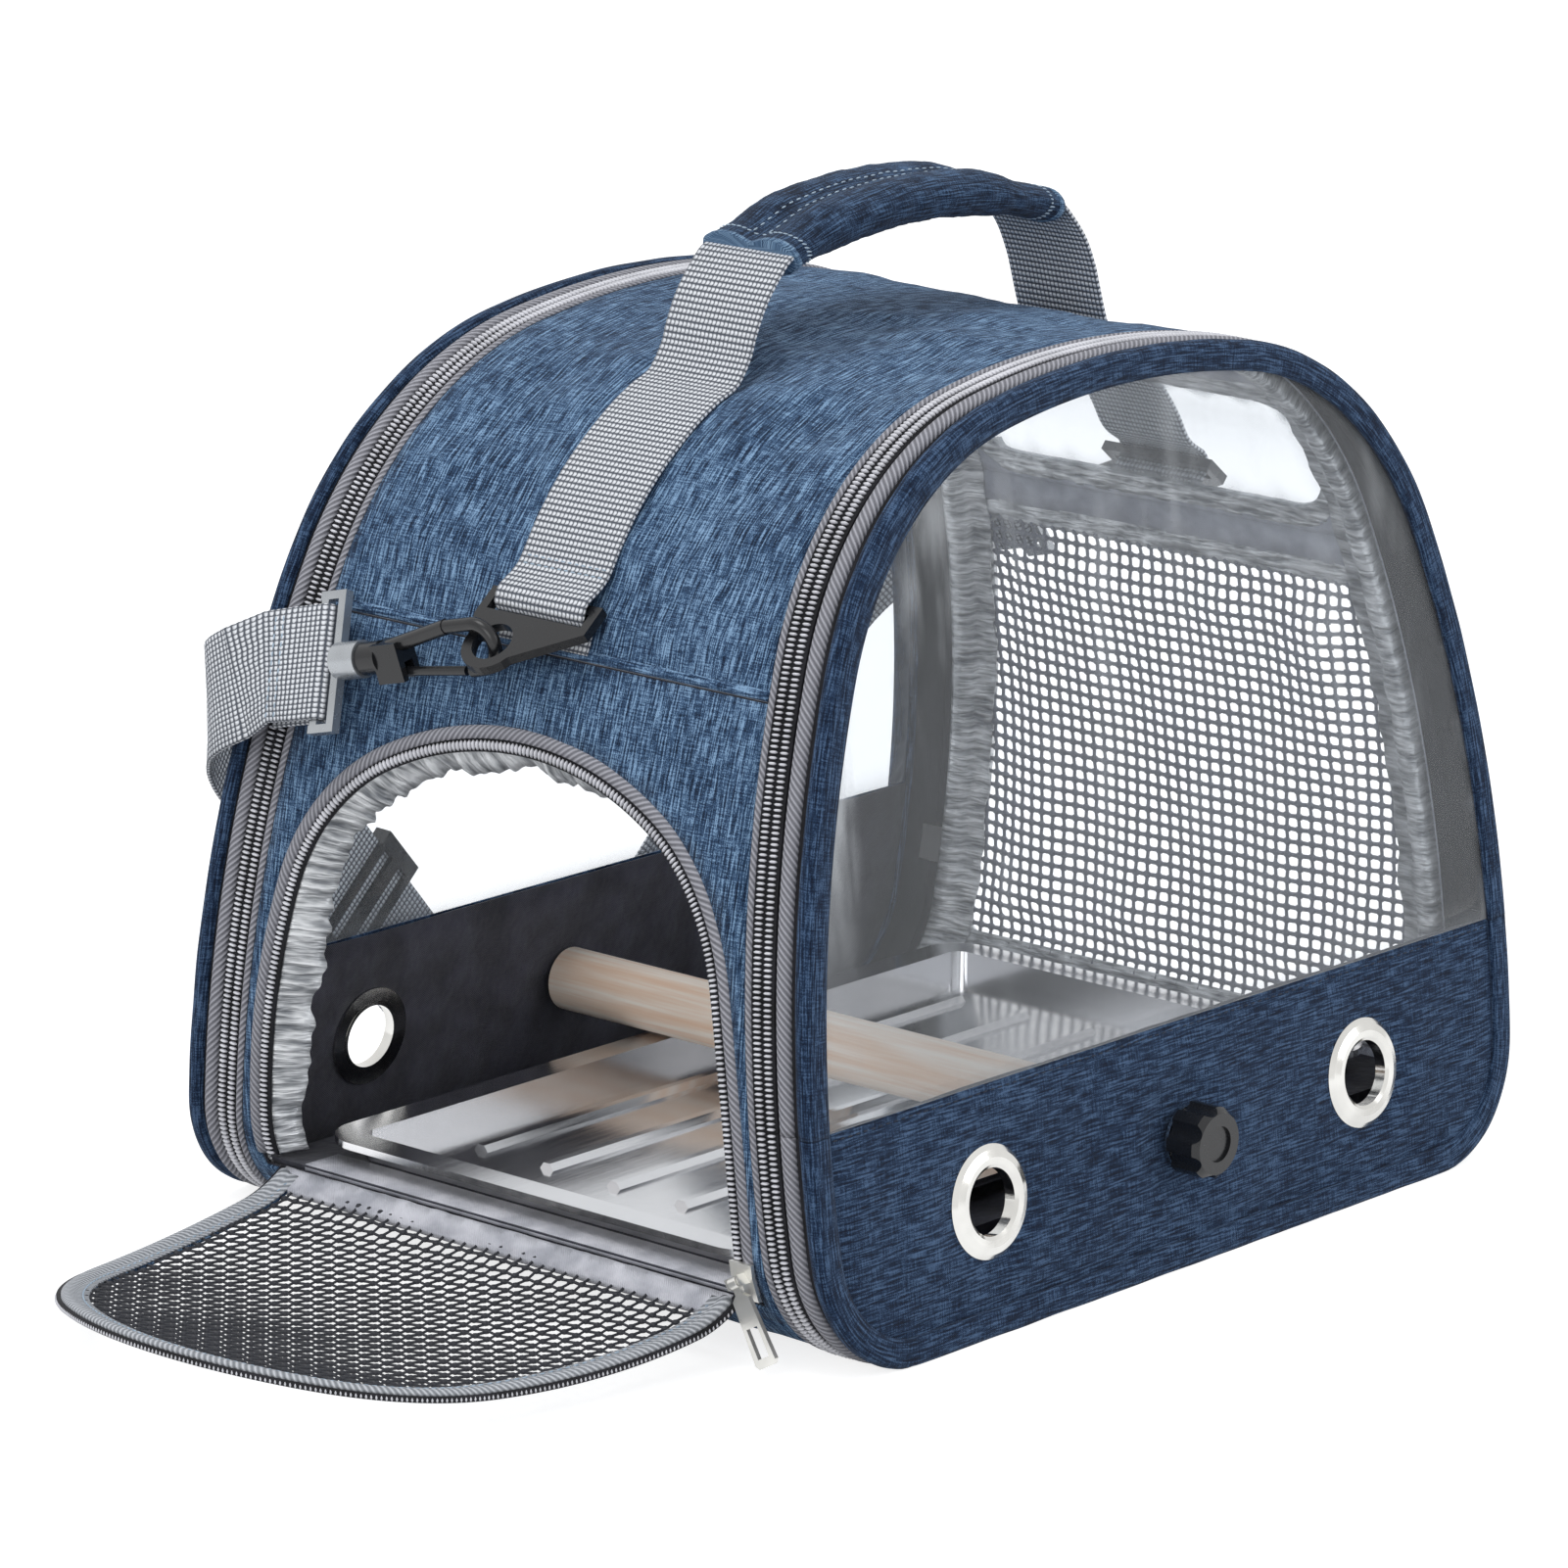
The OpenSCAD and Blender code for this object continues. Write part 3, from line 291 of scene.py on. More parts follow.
class Build:
    """Gathers closed shapes into one mesh before it becomes a piece."""
    def __init__(self):
        self.verts, self.faces, self.corners = [], [], []

    def loft(self, rings, along, around, closed=False):
        """Skins a row of rings of equal size; along and around are the UV steps."""
        base, n, m = len(self.verts), len(rings[0]), len(rings)
        for ring in rings:
            self.verts += ring
        for i in range(m if closed else m - 1):
            for j in range(n):
                k, l = (i + 1) % m, (j + 1) % n
                self.faces.append((base + i*n + j, base + i*n + l, base + k*n + l, base + k*n + j))
                u0, u1, v0, v1 = along[i], along[i + 1], around[j], around[j + 1]
                self.corners.append(((u0, v0), (u0, v1), (u1, v1), (u1, v0)))
        if not closed:
            for i, flip in ((0, True), (m - 1, False)):
                face = [base + i*n + j for j in range(n)]
                face = face[::-1] if flip else face
                self.faces.append(tuple(face))
                self.corners.append(tuple((along[i], around[(f - base) % n]) for f in face))
        return self

    def piece(self, name, look, body, slot):
        return new_piece(name, self.verts, self.faces, self.corners, look, body, slot)


def perimeter(section):
    """Running length round a closed section, in metres."""
    out = [0.0]
    for a, b in zip(section, section[1:] + section[:1]):
        out.append(out[-1] + math.dist(a, b)*MM)
    return out


def sweep(build, place, stations, section, closed=False, shape=None):
    """Lofts a section of (across, out) points along stations; shape may bend each point by its station."""
    rings = [[place(s, *(shape(s, p) if shape else p)) for p in section]
             for s in (stations[:-1] if closed else stations)]
    return build.loft(rings, [s*MM for s in stations], perimeter(section), closed)


def inside(points, outline):
    """Which of the points lie inside a closed outline."""
    x, y = points[:, 0], points[:, 1]
    result = np.zeros(len(points), bool)
    for (x0, y0), (x1, y1) in zip(outline, outline[1:] + outline[:1]):
        crosses = (y0 > y) != (y1 > y)
        with np.errstate(divide="ignore", invalid="ignore"):
            at = (x1 - x0)*(y - y0)/(y1 - y0) + x0
        result ^= crosses & (x < at)
    return result


def in_cloth(points, outline, holes):
    keep = inside(points, outline)
    for hole in holes:
        keep &= ~inside(points, hole)
    return keep


def near(points, outline, reach):
    """Which of the points lie close to one of an outline's."""
    edge = np.array(outline)
    return np.array([np.min(np.hypot(*(edge - p).T)) < reach for p in points])


def sheet(name, outline, holes, place, top, bottom, step, look, body, slot):
    """A sheet with holes: outline and holes in the sheet's own (u, v), place(u, v, o) in space."""
    loops = [outline] + holes
    coords = [Vector(p) for loop in loops for p in loop]
    edges, start = [], 0
    for loop in loops:
        edges += [(start + i, start + (i + 1) % len(loop)) for i in range(len(loop))]
        start += len(loop)
    (u0, v0), (u1, v1) = np.min(outline, axis=0), np.max(outline, axis=0)
    us, vs = np.arange(u0 + step/2, u1, step), np.arange(v0 + step/2, v1, step)
    grid = np.array([(u + (j % 2)*step/2, v) for j, v in enumerate(vs) for u in us])
    keep = in_cloth(grid, outline, holes) & ~near(grid, [tuple(c) for c in coords], step*0.6)
    coords += [Vector(p) for p in grid[keep]]
    verts, _, tris, _, _, _ = delaunay_2d_cdt(coords, edges, [], 0, 1e-6)
    verts = [tuple(v) for v in verts]
    middles = np.array([np.mean([verts[i] for i in t], axis=0) for t in tris])
    tris = [tuple(t) for t, k in zip(tris, in_cloth(middles, outline, holes)) if k]
    n = len(verts)
    count = {}
    for t in tris:
        for a, b in zip(t, t[1:] + t[:1]):
            count[(a, b)] = count.get((a, b), 0) + 1
    rims = [(a, b) for a, b in count if (b, a) not in count]
    solid = [place(u, v, level(u, v) if callable(level) else level)
             for level in (top, bottom) for u, v in verts]
    faces = tris + [tuple(i + n for i in reversed(t)) for t in tris] + [(b, a, a + n, b + n) for a, b in rims]
    uv = [(u*MM, v*MM) for u, v in verts]*2
    used = sorted({i for f in faces for i in f})
    new = {old: i for i, old in enumerate(used)}
    build = Build()
    build.verts = [solid[i] for i in used]
    build.faces = [tuple(new[i] for i in f) for f in faces]
    build.corners = [tuple(uv[i] for i in f) for f in faces]
    return build.piece(name, look, body, slot)


# -------- shader sums
class Wire:
    """A shader socket whose sums add Math nodes."""
    def __init__(self, look, socket):
        self.look, self.socket = look, socket

    def math(self, operation, *values):
        return self.look.add("Math", {"operation": operation}, dict(enumerate(values)))

    def __add__(self, other):
        return self.math("ADD", self, other)

    def __sub__(self, other):
        return self.math("SUBTRACT", self, other)

    def __rsub__(self, other):
        return self.math("SUBTRACT", other, self)

    def __mul__(self, other):
        return self.math("MULTIPLY", self, other)

    __radd__, __rmul__ = __add__, __mul__

    def sine(self):
        return self.math("SINE", self)

    def power(self, k):
        return self.math("POWER", self, k)

    def ramp(self, low, high):
        """0 below low, 1 above high, smooth between."""
        return self.look.add("MapRange", {"interpolation_type": "SMOOTHSTEP"},
                             {"Value": self, "From Min": low, "From Max": high})


class Look:
    """A procedural material, or the world: any node comes from add, and finish wires a plain surface."""
    def __init__(self, name, kind="materials"):
        self.made = getattr(bpy.data, kind).new(name)
        self.made.use_nodes = True
        self.tree = self.made.node_tree
        self.tree.nodes.clear()

    def add(self, kind, settings=None, values=None, out=0):
        node = self.tree.nodes.new("ShaderNode" + kind)
        for key, value in (settings or {}).items():
            if key == "stops":
                for _ in range(len(value) - 2):
                    node.color_ramp.elements.new(0.5)
                for element, (at, colour) in zip(node.color_ramp.elements, value):
                    element.position, element.color = at, (*colour, 1)
            else:
                setattr(node, key, value)
        for key, value in (values or {}).items():
            if isinstance(value, Wire):
                self.tree.links.new(value.socket, node.inputs[key])
            else:
                node.inputs[key].default_value = value
        return Wire(self, node.outputs[out]) if len(node.outputs) else None

    def parts(self, vector):
        """The three numbers of a vector."""
        node = self.add("SeparateXYZ", values={0: vector}).socket.node
        return [Wire(self, socket) for socket in node.outputs]

    def cloth_uv(self):
        """Two numbers: metres along and across the cloth."""
        return self.parts(self.add("TexCoord", out="UV"))[:2]

    def place(self):
        return self.add("TexCoord", out="Object")

    def rays(self):
        return [self.add("LightPath", out="Is %s Ray" % ray) for ray in ("Camera", "Transmission", "Glossy")]

    def vector(self, x, y, z=0.0):
        return self.add("CombineXYZ", values={0: x, 1: y, 2: z})

    def noise(self, vector, scale, detail=2.0, rough=0.5):
        values = {"Vector": vector, "Scale": scale, "Detail": detail, "Roughness": rough}
        return self.add("TexNoise", values=values)

    def blend(self, amount, low, high):
        values = {0: amount}
        for index, colour in ((6, low), (7, high)):
            values[index] = colour if isinstance(colour, Wire) else (*colour, 1)
        return self.add("Mix", {"data_type": "RGBA"}, values, out=2)

    def bump(self, height, distance, strength=1.0):
        return self.add("Bump", values={"Height": height, "Distance": distance, "Strength": strength})

    def finish(self, **values):
        """Keys are Principled sockets with underscores for spaces."""
        named = {}
        for key, value in values.items():
            key = key.replace("_", " ")
            named[key] = (*value, 1) if isinstance(value, tuple) and len(value) == 3 else value
        shader = self.add("BsdfPrincipled", values=named)
        self.add("OutputMaterial", values={"Surface": shader})
        return self.made


def rgb(*levels):
    """Linear colour from the 0 to 255 levels that it is seen as."""
    return tuple(((c/255 + 0.055)/1.055)**2.4 if c > 10 else c/255/12.92 for c in levels)


def melange(name, dark, mid, light):
    """Cloth of mottled yarn: short streaks both ways over a fine plain weave."""
    look = Look(name)
    u, v = look.cloth_uv()
    along = look.noise(look.vector(u*100.0, v*1450.0), 1.0, 1.0, 0.5)
    across = look.noise(look.vector(u*1800.0, v*170.0, 7.0), 1.0, 1.0, 0.5)
    grain = look.noise(look.vector(u*2100.0, v*2100.0, 3.0), 1.0, 1.0)
    broad = look.noise(look.place(), 26.0, 2.0)
    tone = (along*0.85 + across*0.4 + grain*0.45 + broad*0.16 - 0.43).ramp(0.24, 0.76)
    colour = look.add("ValToRGB", {"stops": [(0.0, dark), (0.5, mid), (1.0, light)]}, {0: tone})
    weave = (u*9000.0).sine()*(v*9000.0).sine()*0.35 + along*0.7 + across*0.6 + grain*0.4
    return look.finish(Base_Color=colour, Roughness=0.85, Normal=look.bump(weave, 0.00035, 0.7),
                       Sheen_Weight=0.06, Sheen_Roughness=0.4, Specular_IOR_Level=0.2)


def plain_cloth(name, dark, light, crease=0.0006, rough=0.7, sheen=0.2):
    """Thin lining or satin with soft creases, its colour darker down in them as painted shade."""
    look = Look(name)
    u, v = look.cloth_uv()
    folds = look.noise(look.place(), 60.0, 3.0, 0.55)
    weave = (u*8000.0).sine()*(v*8000.0).sine()
    # The colour follows the folds: painted shade where they sink.
    colour = look.blend((folds + weave*0.04).ramp(0.3, 0.7), dark, light)
    return look.finish(Base_Color=colour, Roughness=rough, Sheen_Weight=sheen, Specular_IOR_Level=0.3,
                       Normal=look.bump(folds*6.0 + weave*0.25, crease, 0.6))


def satin(name, dark, light):
    """Shiny gathered binding: fine pleats across it and soft creases, coloured darker in their hollows as painted
    shade.
    """
    look = Look(name)
    u, v = look.cloth_uv()
    pleats = look.noise(look.vector(u*420.0, v*70.0), 1.0, 2.0, 0.5)
    broad = look.noise(look.place(), 90.0, 2.0)
    # The tone follows the pleats' height: painted shade in their hollows.
    tone = (pleats*0.75 + broad*0.4 - 0.08).ramp(0.3, 0.66)
    return look.finish(Base_Color=look.blend(tone, dark, light), Roughness=broad*0.2 + 0.24, Metallic=0.25,
                       Normal=look.bump(pleats + broad*0.8, 0.003, 0.9), Specular_IOR_Level=0.5)


def webbing(name, dark, light):
    """Flat woven webbing: rows of raised yarn with small holes between them, coloured dark where the yarn is low as
    painted shade.
    """
    look = Look(name)
    u, v = look.cloth_uv()
    rows = (u*2992.0).sine()*0.5 + 0.5
    cords = ((v + rows*0.0002)*3696.0).sine()*0.5 + 0.5
    bumps = (rows*cords.power(0.6)).power(0.7)
    yarn = look.noise(look.vector(u*2600.0, v*1500.0), 1.0, 2.0)
    # The tone follows the yarn's height: painted shade in the holes and hollows.
    tone = (bumps*0.95 + yarn*0.4 - 0.2).ramp(0.02, 0.7)
    return look.finish(Base_Color=look.blend(tone, dark, light), Roughness=0.8, Sheen_Weight=0.08,
                       Specular_IOR_Level=0.25, Normal=look.bump(bumps + yarn*0.25, 0.0007, 0.9))


def ribbed_tape(name, dark, light, turn=0.7):
    """Zip tape with slanting ribs, coloured darker in the grooves between them as painted shade."""
    look = Look(name)
    u, v = look.cloth_uv()
    ribs = ((u + v*turn)*2700.0).sine()*0.5 + 0.5
    fuzz = look.noise(look.vector(u*1800.0, v*1800.0), 1.0)
    # The colour follows the ribs: painted shade in the grooves.
    colour = look.blend(ribs*0.75 + fuzz*0.25, dark, light)
    return look.finish(Base_Color=colour, Roughness=0.65, Specular_IOR_Level=0.3,
                       Normal=look.bump(ribs, 0.0005, 0.9))


def moulded(name, colour, rough, metallic=0.0):
    """Moulded plastic or plain metal with faint handling marks."""
    look = Look(name)
    at = look.place()
    marks = look.noise(at, 400.0, 3.0)
    broad = look.noise(at, 60.0, 2.0)
    return look.finish(Base_Color=look.blend(broad.ramp(0.35, 0.7), tuple(c*0.85 for c in colour), colour),
                       Roughness=marks*0.12 + (rough - 0.06), Metallic=metallic,
                       Normal=look.bump(marks, 0.00005, 0.4), Specular_IOR_Level=0.5)


def brushed(name, colour, rough):
    """Sheet steel with fine drawn lines along X."""
    look = Look(name)
    x, y, _ = look.parts(look.place())
    lines = look.noise(look.vector(x*40.0, y*900.0), 1.0, 2.0)
    smudge = look.noise(look.place(), 25.0, 3.0)
    return look.finish(Base_Color=look.blend(smudge, tuple(c*0.9 for c in colour), colour), Metallic=1.0,
                       Roughness=lines*0.12 + smudge*0.1 + (rough - 0.1), Normal=look.bump(lines, 0.00003, 0.5))


def timber(name, dark, light):
    """Turned wood with grain along Y."""
    look = Look(name)
    x, y, z = look.parts(look.place())
    grain = look.noise(look.vector(x*420.0, y*14.0, z*420.0), 1.0, 4.0, 0.6)
    rings = (look.noise(look.vector(x*60.0, y*3.0, z*60.0), 1.0, 2.0)*26.0).sine()*0.5 + 0.5
    tone = grain*0.83 + rings*0.17
    return look.finish(Base_Color=look.blend(tone.ramp(0.25, 0.75), dark, light), Roughness=grain*0.2 + 0.42,
                       Normal=look.bump(grain, 0.0002, 0.5), Specular_IOR_Level=0.35)


def clear_film(name, tint):
    """Thin clear film: seen through, with gloss that grows at a slant, soft ripples, and whitish streaks of painted
    reflection mixed in, strongest on the left and high up.
    """
    look = Look(name)
    at = look.place()
    ripple = look.noise(at, 9.0, 2.0) + look.noise(at, 38.0, 2.0)*0.22
    normal = look.bump(ripple, 0.006, 0.35)
    slant = look.add("LayerWeight", values={"Blend": 0.5, "Normal": normal}, out=1)
    x, _, z = look.parts(at)
    high = z.ramp(0.12, 0.18)
    left = x.ramp(-0.04, -0.14)*high
    # Whitish streaks of painted reflection: more of the white glossy shader, strongest on the left and high up.
    streaks = look.noise(look.vector(x*34.0, 0.0, z*9.0), 1.0, 3.0, 0.6)
    painted_reflection = streaks.ramp(0.5, 0.72)*(left*0.24 + high*0.06 + 0.03)
    see = look.add("BsdfTransparent", values={0: (*tint, 1)})
    gloss = look.add("BsdfPrincipled", values={"Base Color": (0.9, 0.93, 0.96, 1), "Roughness": 0.06,
                                               "Specular IOR Level": 0.8, "Normal": normal})
    mixed = look.add("MixShader", values={0: slant.power(4.0)*0.85 + painted_reflection + 0.045, 1: see, 2: gloss})
    look.add("OutputMaterial", values={"Surface": mixed})
    return look.made


DENIM = melange("denim", rgb(12, 28, 50), rgb(60, 88, 122), rgb(144, 178, 212))
# A darker copy of the denim for the bands and the piping: painted shade, for the front band that lies in shade.
SHADED_DENIM = melange("shaded_denim", rgb(6, 18, 38), rgb(34, 54, 82), rgb(84, 110, 144))
GRIP_CLOTH = melange("grip_cloth", rgb(8, 18, 34), rgb(36, 54, 80), rgb(84, 112, 146))
# Lighter denim for the rim at each cut end of the grip: a painted highlight along the edge's fold.
GRIP_EDGE_HIGHLIGHT = melange("grip_edge_highlight", rgb(40, 62, 90), rgb(88, 118, 150), rgb(150, 180, 208))
DARK_LINING = plain_cloth("dark_lining", rgb(38, 38, 48), rgb(66, 66, 80), crease=0.0012, rough=0.5)
GREY_LINING = plain_cloth("grey_lining", rgb(172, 176, 190), rgb(222, 226, 236), crease=0.0010, rough=0.5)
SILVER_BINDING = satin("silver_binding", rgb(120, 124, 130), rgb(246, 248, 250))
EDGE_TAPE = ribbed_tape("edge_tape", rgb(112, 116, 122), rgb(216, 219, 224), 0.5)
ZIP_TAPE = ribbed_tape("zip_tape", rgb(98, 98, 105), rgb(186, 186, 194), 0.9)
# Near-black cloth under the zip teeth and beside the tapes: painted shade in the gaps.
ZIP_SHADE = plain_cloth("zip_painted_shade", rgb(16, 16, 20), rgb(34, 34, 40), crease=0.0003, sheen=0.0)
ZIP_TEETH = moulded("zip_teeth", rgb(232, 232, 238), 0.28)
WEBBING = webbing("webbing", rgb(84, 89, 99), rgb(246, 249, 254))
NET_YARN = moulded("net_yarn", rgb(38, 40, 48), 0.6)
# The vent's net is black yarn like the door's, painted mid-grey here: painted haze from the clear film in front of
# it and painted light on its backlit strands.
HAZED_VENT_YARN = moulded("vent_yarn_painted_haze", rgb(132, 136, 148), 0.55)
FILM = clear_film("clear_film", (0.97, 0.98, 0.99))
CHROME = moulded("bright_metal", rgb(225, 224, 220), 0.14, metallic=1.0)
STEEL = brushed("tray_steel", rgb(226, 226, 228), 0.13)
BLACK = moulded("black_plastic", rgb(26, 27, 30), 0.26)
SILVER_PLASTIC = moulded("silver_plastic", rgb(176, 180, 184), 0.26, metallic=0.7)
NICKEL = moulded("nickel", rgb(236, 235, 230), 0.3, metallic=0.85)
WOOD = timber("perch_wood", rgb(240, 206, 178), rgb(255, 246, 234))
SILL_SATIN = plain_cloth("sill_satin", rgb(176, 178, 188), rgb(232, 232, 240), crease=0.0012, rough=0.34)
BOARD_CLOTH = plain_cloth("board_cloth", rgb(36, 37, 48), rgb(60, 62, 76))
THREAD = moulded("stitch_thread", rgb(176, 196, 214), 0.6)
DARK_THREAD = moulded("dark_thread", rgb(24, 36, 56), 0.7)


# -------- repeated small shapes
def repeat_tree(name, shape, look):
    """Geometry Nodes: one small shape on each point, its X along and its Z out."""
    tree = bpy.data.node_groups.new(name, "GeometryNodeTree")
    tree.interface.new_socket("Geometry", in_out="INPUT", socket_type="NodeSocketGeometry")
    sizes = {}
    for label, value in zip(("Length", "Width", "Height"), shape):
        socket = tree.interface.new_socket(label, in_out="INPUT", socket_type="NodeSocketFloat")
        socket.default_value = value
        sizes[label] = socket.identifier
    tree.interface.new_socket("Geometry", in_out="OUTPUT", socket_type="NodeSocketGeometry")

    def add(kind, values=None, **settings):
        """A node's outputs; its inputs take numbers or other nodes' outputs."""
        node = tree.nodes.new(kind)
        for key, value in settings.items():
            setattr(node, key, value)
        for key, value in (values or {}).items():
            if isinstance(value, bpy.types.NodeSocket):
                tree.links.new(value, node.inputs[key])
            else:
                node.inputs[key].default_value = value
        return node.outputs

    entry = add("NodeGroupInput")
    ball = add("GeometryNodeMeshUVSphere", {"Segments": 6, "Rings": 4, "Radius": 0.5})["Mesh"]
    scale = add("ShaderNodeCombineXYZ", {index: entry[label] for index, label in enumerate(sizes)})[0]
    sized = add("GeometryNodeTransform", {"Geometry": ball, "Scale": scale})["Geometry"]
    out, along = (add("GeometryNodeInputNamedAttribute", {"Name": label}, data_type="FLOAT_VECTOR")["Attribute"]
                  for label in ("out", "along"))
    turn = add("FunctionNodeAxesToRotation", {"Primary Axis": out, "Secondary Axis": along},
               primary_axis="Z", secondary_axis="X")["Rotation"]
    spread = add("GeometryNodeInstanceOnPoints", {"Points": entry["Geometry"], "Instance": sized, "Rotation": turn})
    real = add("GeometryNodeRealizeInstances", {0: spread["Instances"]})[0]
    smooth = add("GeometryNodeSetShadeSmooth", {"Geometry": real})["Geometry"]
    paint = add("GeometryNodeSetMaterial", {"Material": look, "Geometry": smooth})["Geometry"]
    add("NodeGroupOutput", {"Geometry": paint})
    return tree, sizes


def repeated(name, spots, shape, look, body, slot):
    """Puts a rounded shape of length, width and height, in mm, at each (point, along, out)."""
    mesh = bpy.data.meshes.new(name + "_points")
    mesh.from_pydata([tuple(p) for p, _, _ in spots], [], [])
    for label, index in (("along", 1), ("out", 2)):
        data = mesh.attributes.new(label, "FLOAT_VECTOR", "POINT").data
        data.foreach_set("vector", [c for spot in spots for c in spot[index]])
    carrier = new_object(name + "_points", mesh)
    tree, sizes = repeat_tree(name + "_tree", [x*MM for x in shape], look)
    modifier = carrier.modifiers.new("repeat", "NODES")
    modifier.node_group = tree
    for identifier, value in zip(sizes.values(), shape):
        modifier[identifier] = value*MM
    ready = carrier.evaluated_get(bpy.context.evaluated_depsgraph_get())
    result = bpy.data.meshes.new_from_object(ready)
    carrier.modifiers.clear()
    bpy.data.objects.remove(carrier)
    result.name = name
    if not result.materials:
        result.materials.append(look)
    return riding(name, result, body, slot)


def spots_along(place, stations, across, out, turn=False):
    """Points along a rim with the way along it, or across it when turned, and the way out."""
    spots = []
    for s in stations:
        p = place(s, across, out)
        ahead = (place(s + 0.5, across, out) - place(s - 0.5, across, out)).normalized()
        up = (place(s, across, out + 1) - p).normalized()
        side = up.cross(ahead).normalized()
        spots.append((p, side if turn else ahead, up))
    return spots


# -------- the body's fabric
def wall_place(s, y, o):
    """A point of the body's wall: s along its outline, y across its depth, o outside it."""
    x, z, nx, nz = BAG.at(s)
    return Vector((x + nx*o, y, max(z + nz*o, 0)))*MM


def half_depth(s, a):
    return -front_y(BAG.at(s)[1]) - a


def wall_outline(s0, s1, a=SKIN_A):
    stations = BAG.steps(s0, s1, 6)
    edge = [(s, half_depth(s, a)) for s in stations]
    return refined([(s, -y) for s, y in edge] + edge[::-1], 6)


def on_end(points, side, o=0.0):
    """An end's outline in Y and Z turned into the wall's own s and y."""
    out = []
    for y, z, a, b in points:
        s = s_at(z + b*o)
        out.append((s if side > 0 else ARCH_LENGTH - s, y + a*o))
    return out


def fade(value, reach):
    """0 at the edge, 1 from reach inward."""
    k = min(max(value/reach, 0), 1)
    return k*k*(3 - 2*k)


def roof_swell(s, y):
    """Soft folds of the unpadded roof: gone at its edges, pressed flat under the webbing."""
    edge = fade(half_depth(s, SKIN_A) - abs(y), 22)*fade(min(s - SEAM_S, ARCH_LENGTH - SEAM_S - s), 20)
    folds = 3.4*wobble(s*0.6, y*1.2, 5, 46) + 1.8*wobble(s*1.2, y*0.5, 41, 22) + 0.6*wobble(s, y, 3, 9)
    slack = fade(abs(y) - WEB_W/2, 16)
    return edge*(folds*slack + min(folds, 0)*(1 - slack)) - 0.1


def end_swell(s, y):
    """Slight unevenness of an end wall, gone at its edges."""
    edge = fade(half_depth(s, SKIN_A) - abs(y), 15)
    return edge*(0.5*wobble(s, y, 11, 40) + 0.35*wobble(s, y, 23, 14))*0.8 - 0.1


def no_swell(s, y):
    return 0.0


def wall(name, s0, s1, holes, swell, out, thick, look, slot, step):
    """One cloth of the body between two places of its outline."""
    top = lambda s, y: out + swell(s, y)
    bottom = lambda s, y: out - thick + swell(s, y)
    return sheet(name, wall_outline(s0, s1), holes, wall_place, top, bottom, step, look, "bag", slot)


SEAM_S, LOW_S = s_at(SEAM_Z), s_at(SILL_Z - 5)
DOOR_HOLE = [(ARCH_LENGTH - s_at(z), y) for y, z, _, _ in DOOR_ROUTE.points] + [
    (ARCH_LENGTH - s_at(SILL_Z), -DOOR["width"]/2 + DOOR["width"]*(i + 1)/40) for i in range(39)]
SKY_HOLE, VENT_HOLE = on_end(SKY, 1), on_end(VENT, 1)
RIGHT_END, LEFT_END = (LOW_S, SEAM_S), (ARCH_LENGTH - SEAM_S, ARCH_LENGTH - LOW_S)
ROOF = (SEAM_S, ARCH_LENGTH - SEAM_S)
FLOOR = (ARCH_LENGTH - LOW_S, BAG.total + LOW_S)

CLOTH_T, LINING_O, LINING_T = 1.1, -1.15, 0.8
for part, (s0, s1), trims, holes, swell, slot, step, node in (
        ("roof", ROOF, (0.5, 0.5), [SKY_HOLE], roof_swell, "fabric_blue", 5, "roof_panel"),
        ("vent_end", RIGHT_END, (0, 0.5), [VENT_HOLE], end_swell, "fabric_blue", 6, "vent_end_panel"),
        ("door_end", LEFT_END, (0.5, 0), [DOOR_HOLE], end_swell, "fabric_blue", 6, "door_end_panel"),
        ("floor", FLOOR, (0, 0), [], no_swell, "floor_fabric", 12, "floor_panel")):
    cloth = wall(part + "_cloth", s0 + trims[0], s1 - trims[1], holes, swell, 0, CLOTH_T, DENIM, slot, step)
    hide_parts(node)
for part, span, holes, swell, look, step in (
        ("roof", ROOF, [SKY_HOLE], roof_swell, GREY_LINING, 7),
        ("vent_end", RIGHT_END, [VENT_HOLE], end_swell, GREY_LINING, 7),
        ("door_end", LEFT_END, [DOOR_HOLE], end_swell, DARK_LINING, 7),
        ("floor", FLOOR, [], no_swell, DARK_LINING, 12)):
    lining = wall(part + "_lining", *span, holes, swell, LINING_O, LINING_T, look, "lining", step)
    if part == "roof":
        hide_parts("inner_lining")


def seam_roll(name, s):
    """The roof's turned edge where it is sewn over an end."""
    half = half_depth(s, SKIN_A)
    way = 1 if s < ARCH_LENGTH/2 else -1
    place = lambda y, l, o: wall_place(s + way*l, y, o + 0.12*wobble(y, l, o, 6))
    section = [(0.2, -0.9), (0.3, 0.25), (1.2, 0.8), (2.4, 0.75), (3.6, 0.1), (3.8, -0.9)]
    stations = [-half + 2*half*i/110 for i in range(111)]
    return sweep(Build(), place, stations, section).piece(name, DENIM, "bag", "fabric_blue")


seam_roll("right_seam_roll", ROOF[0])
seam_roll("left_seam_roll", ROOF[1])

# -------- rims: piping, zips and inner binding
PIPING = [(0.3, -9), (0.1, -6), (0, -3), (0.1, -1.4), (0.6, -0.2), (1.6, 0.6), (3, 0.8), (4.4, 0.6),
          (5.4, -0.2), (5.9, -1.4), (6, -3), (2.1, -3.2), (2, -9)]
TAPE_ROLL = [(8, -2.4), (7.9, -1.0), (8.5, 0.1), (9.7, 0.8), (11.2, 0.9), (12.5, 0.4), (13.1, -0.6),
             (13.2, -2.4)]
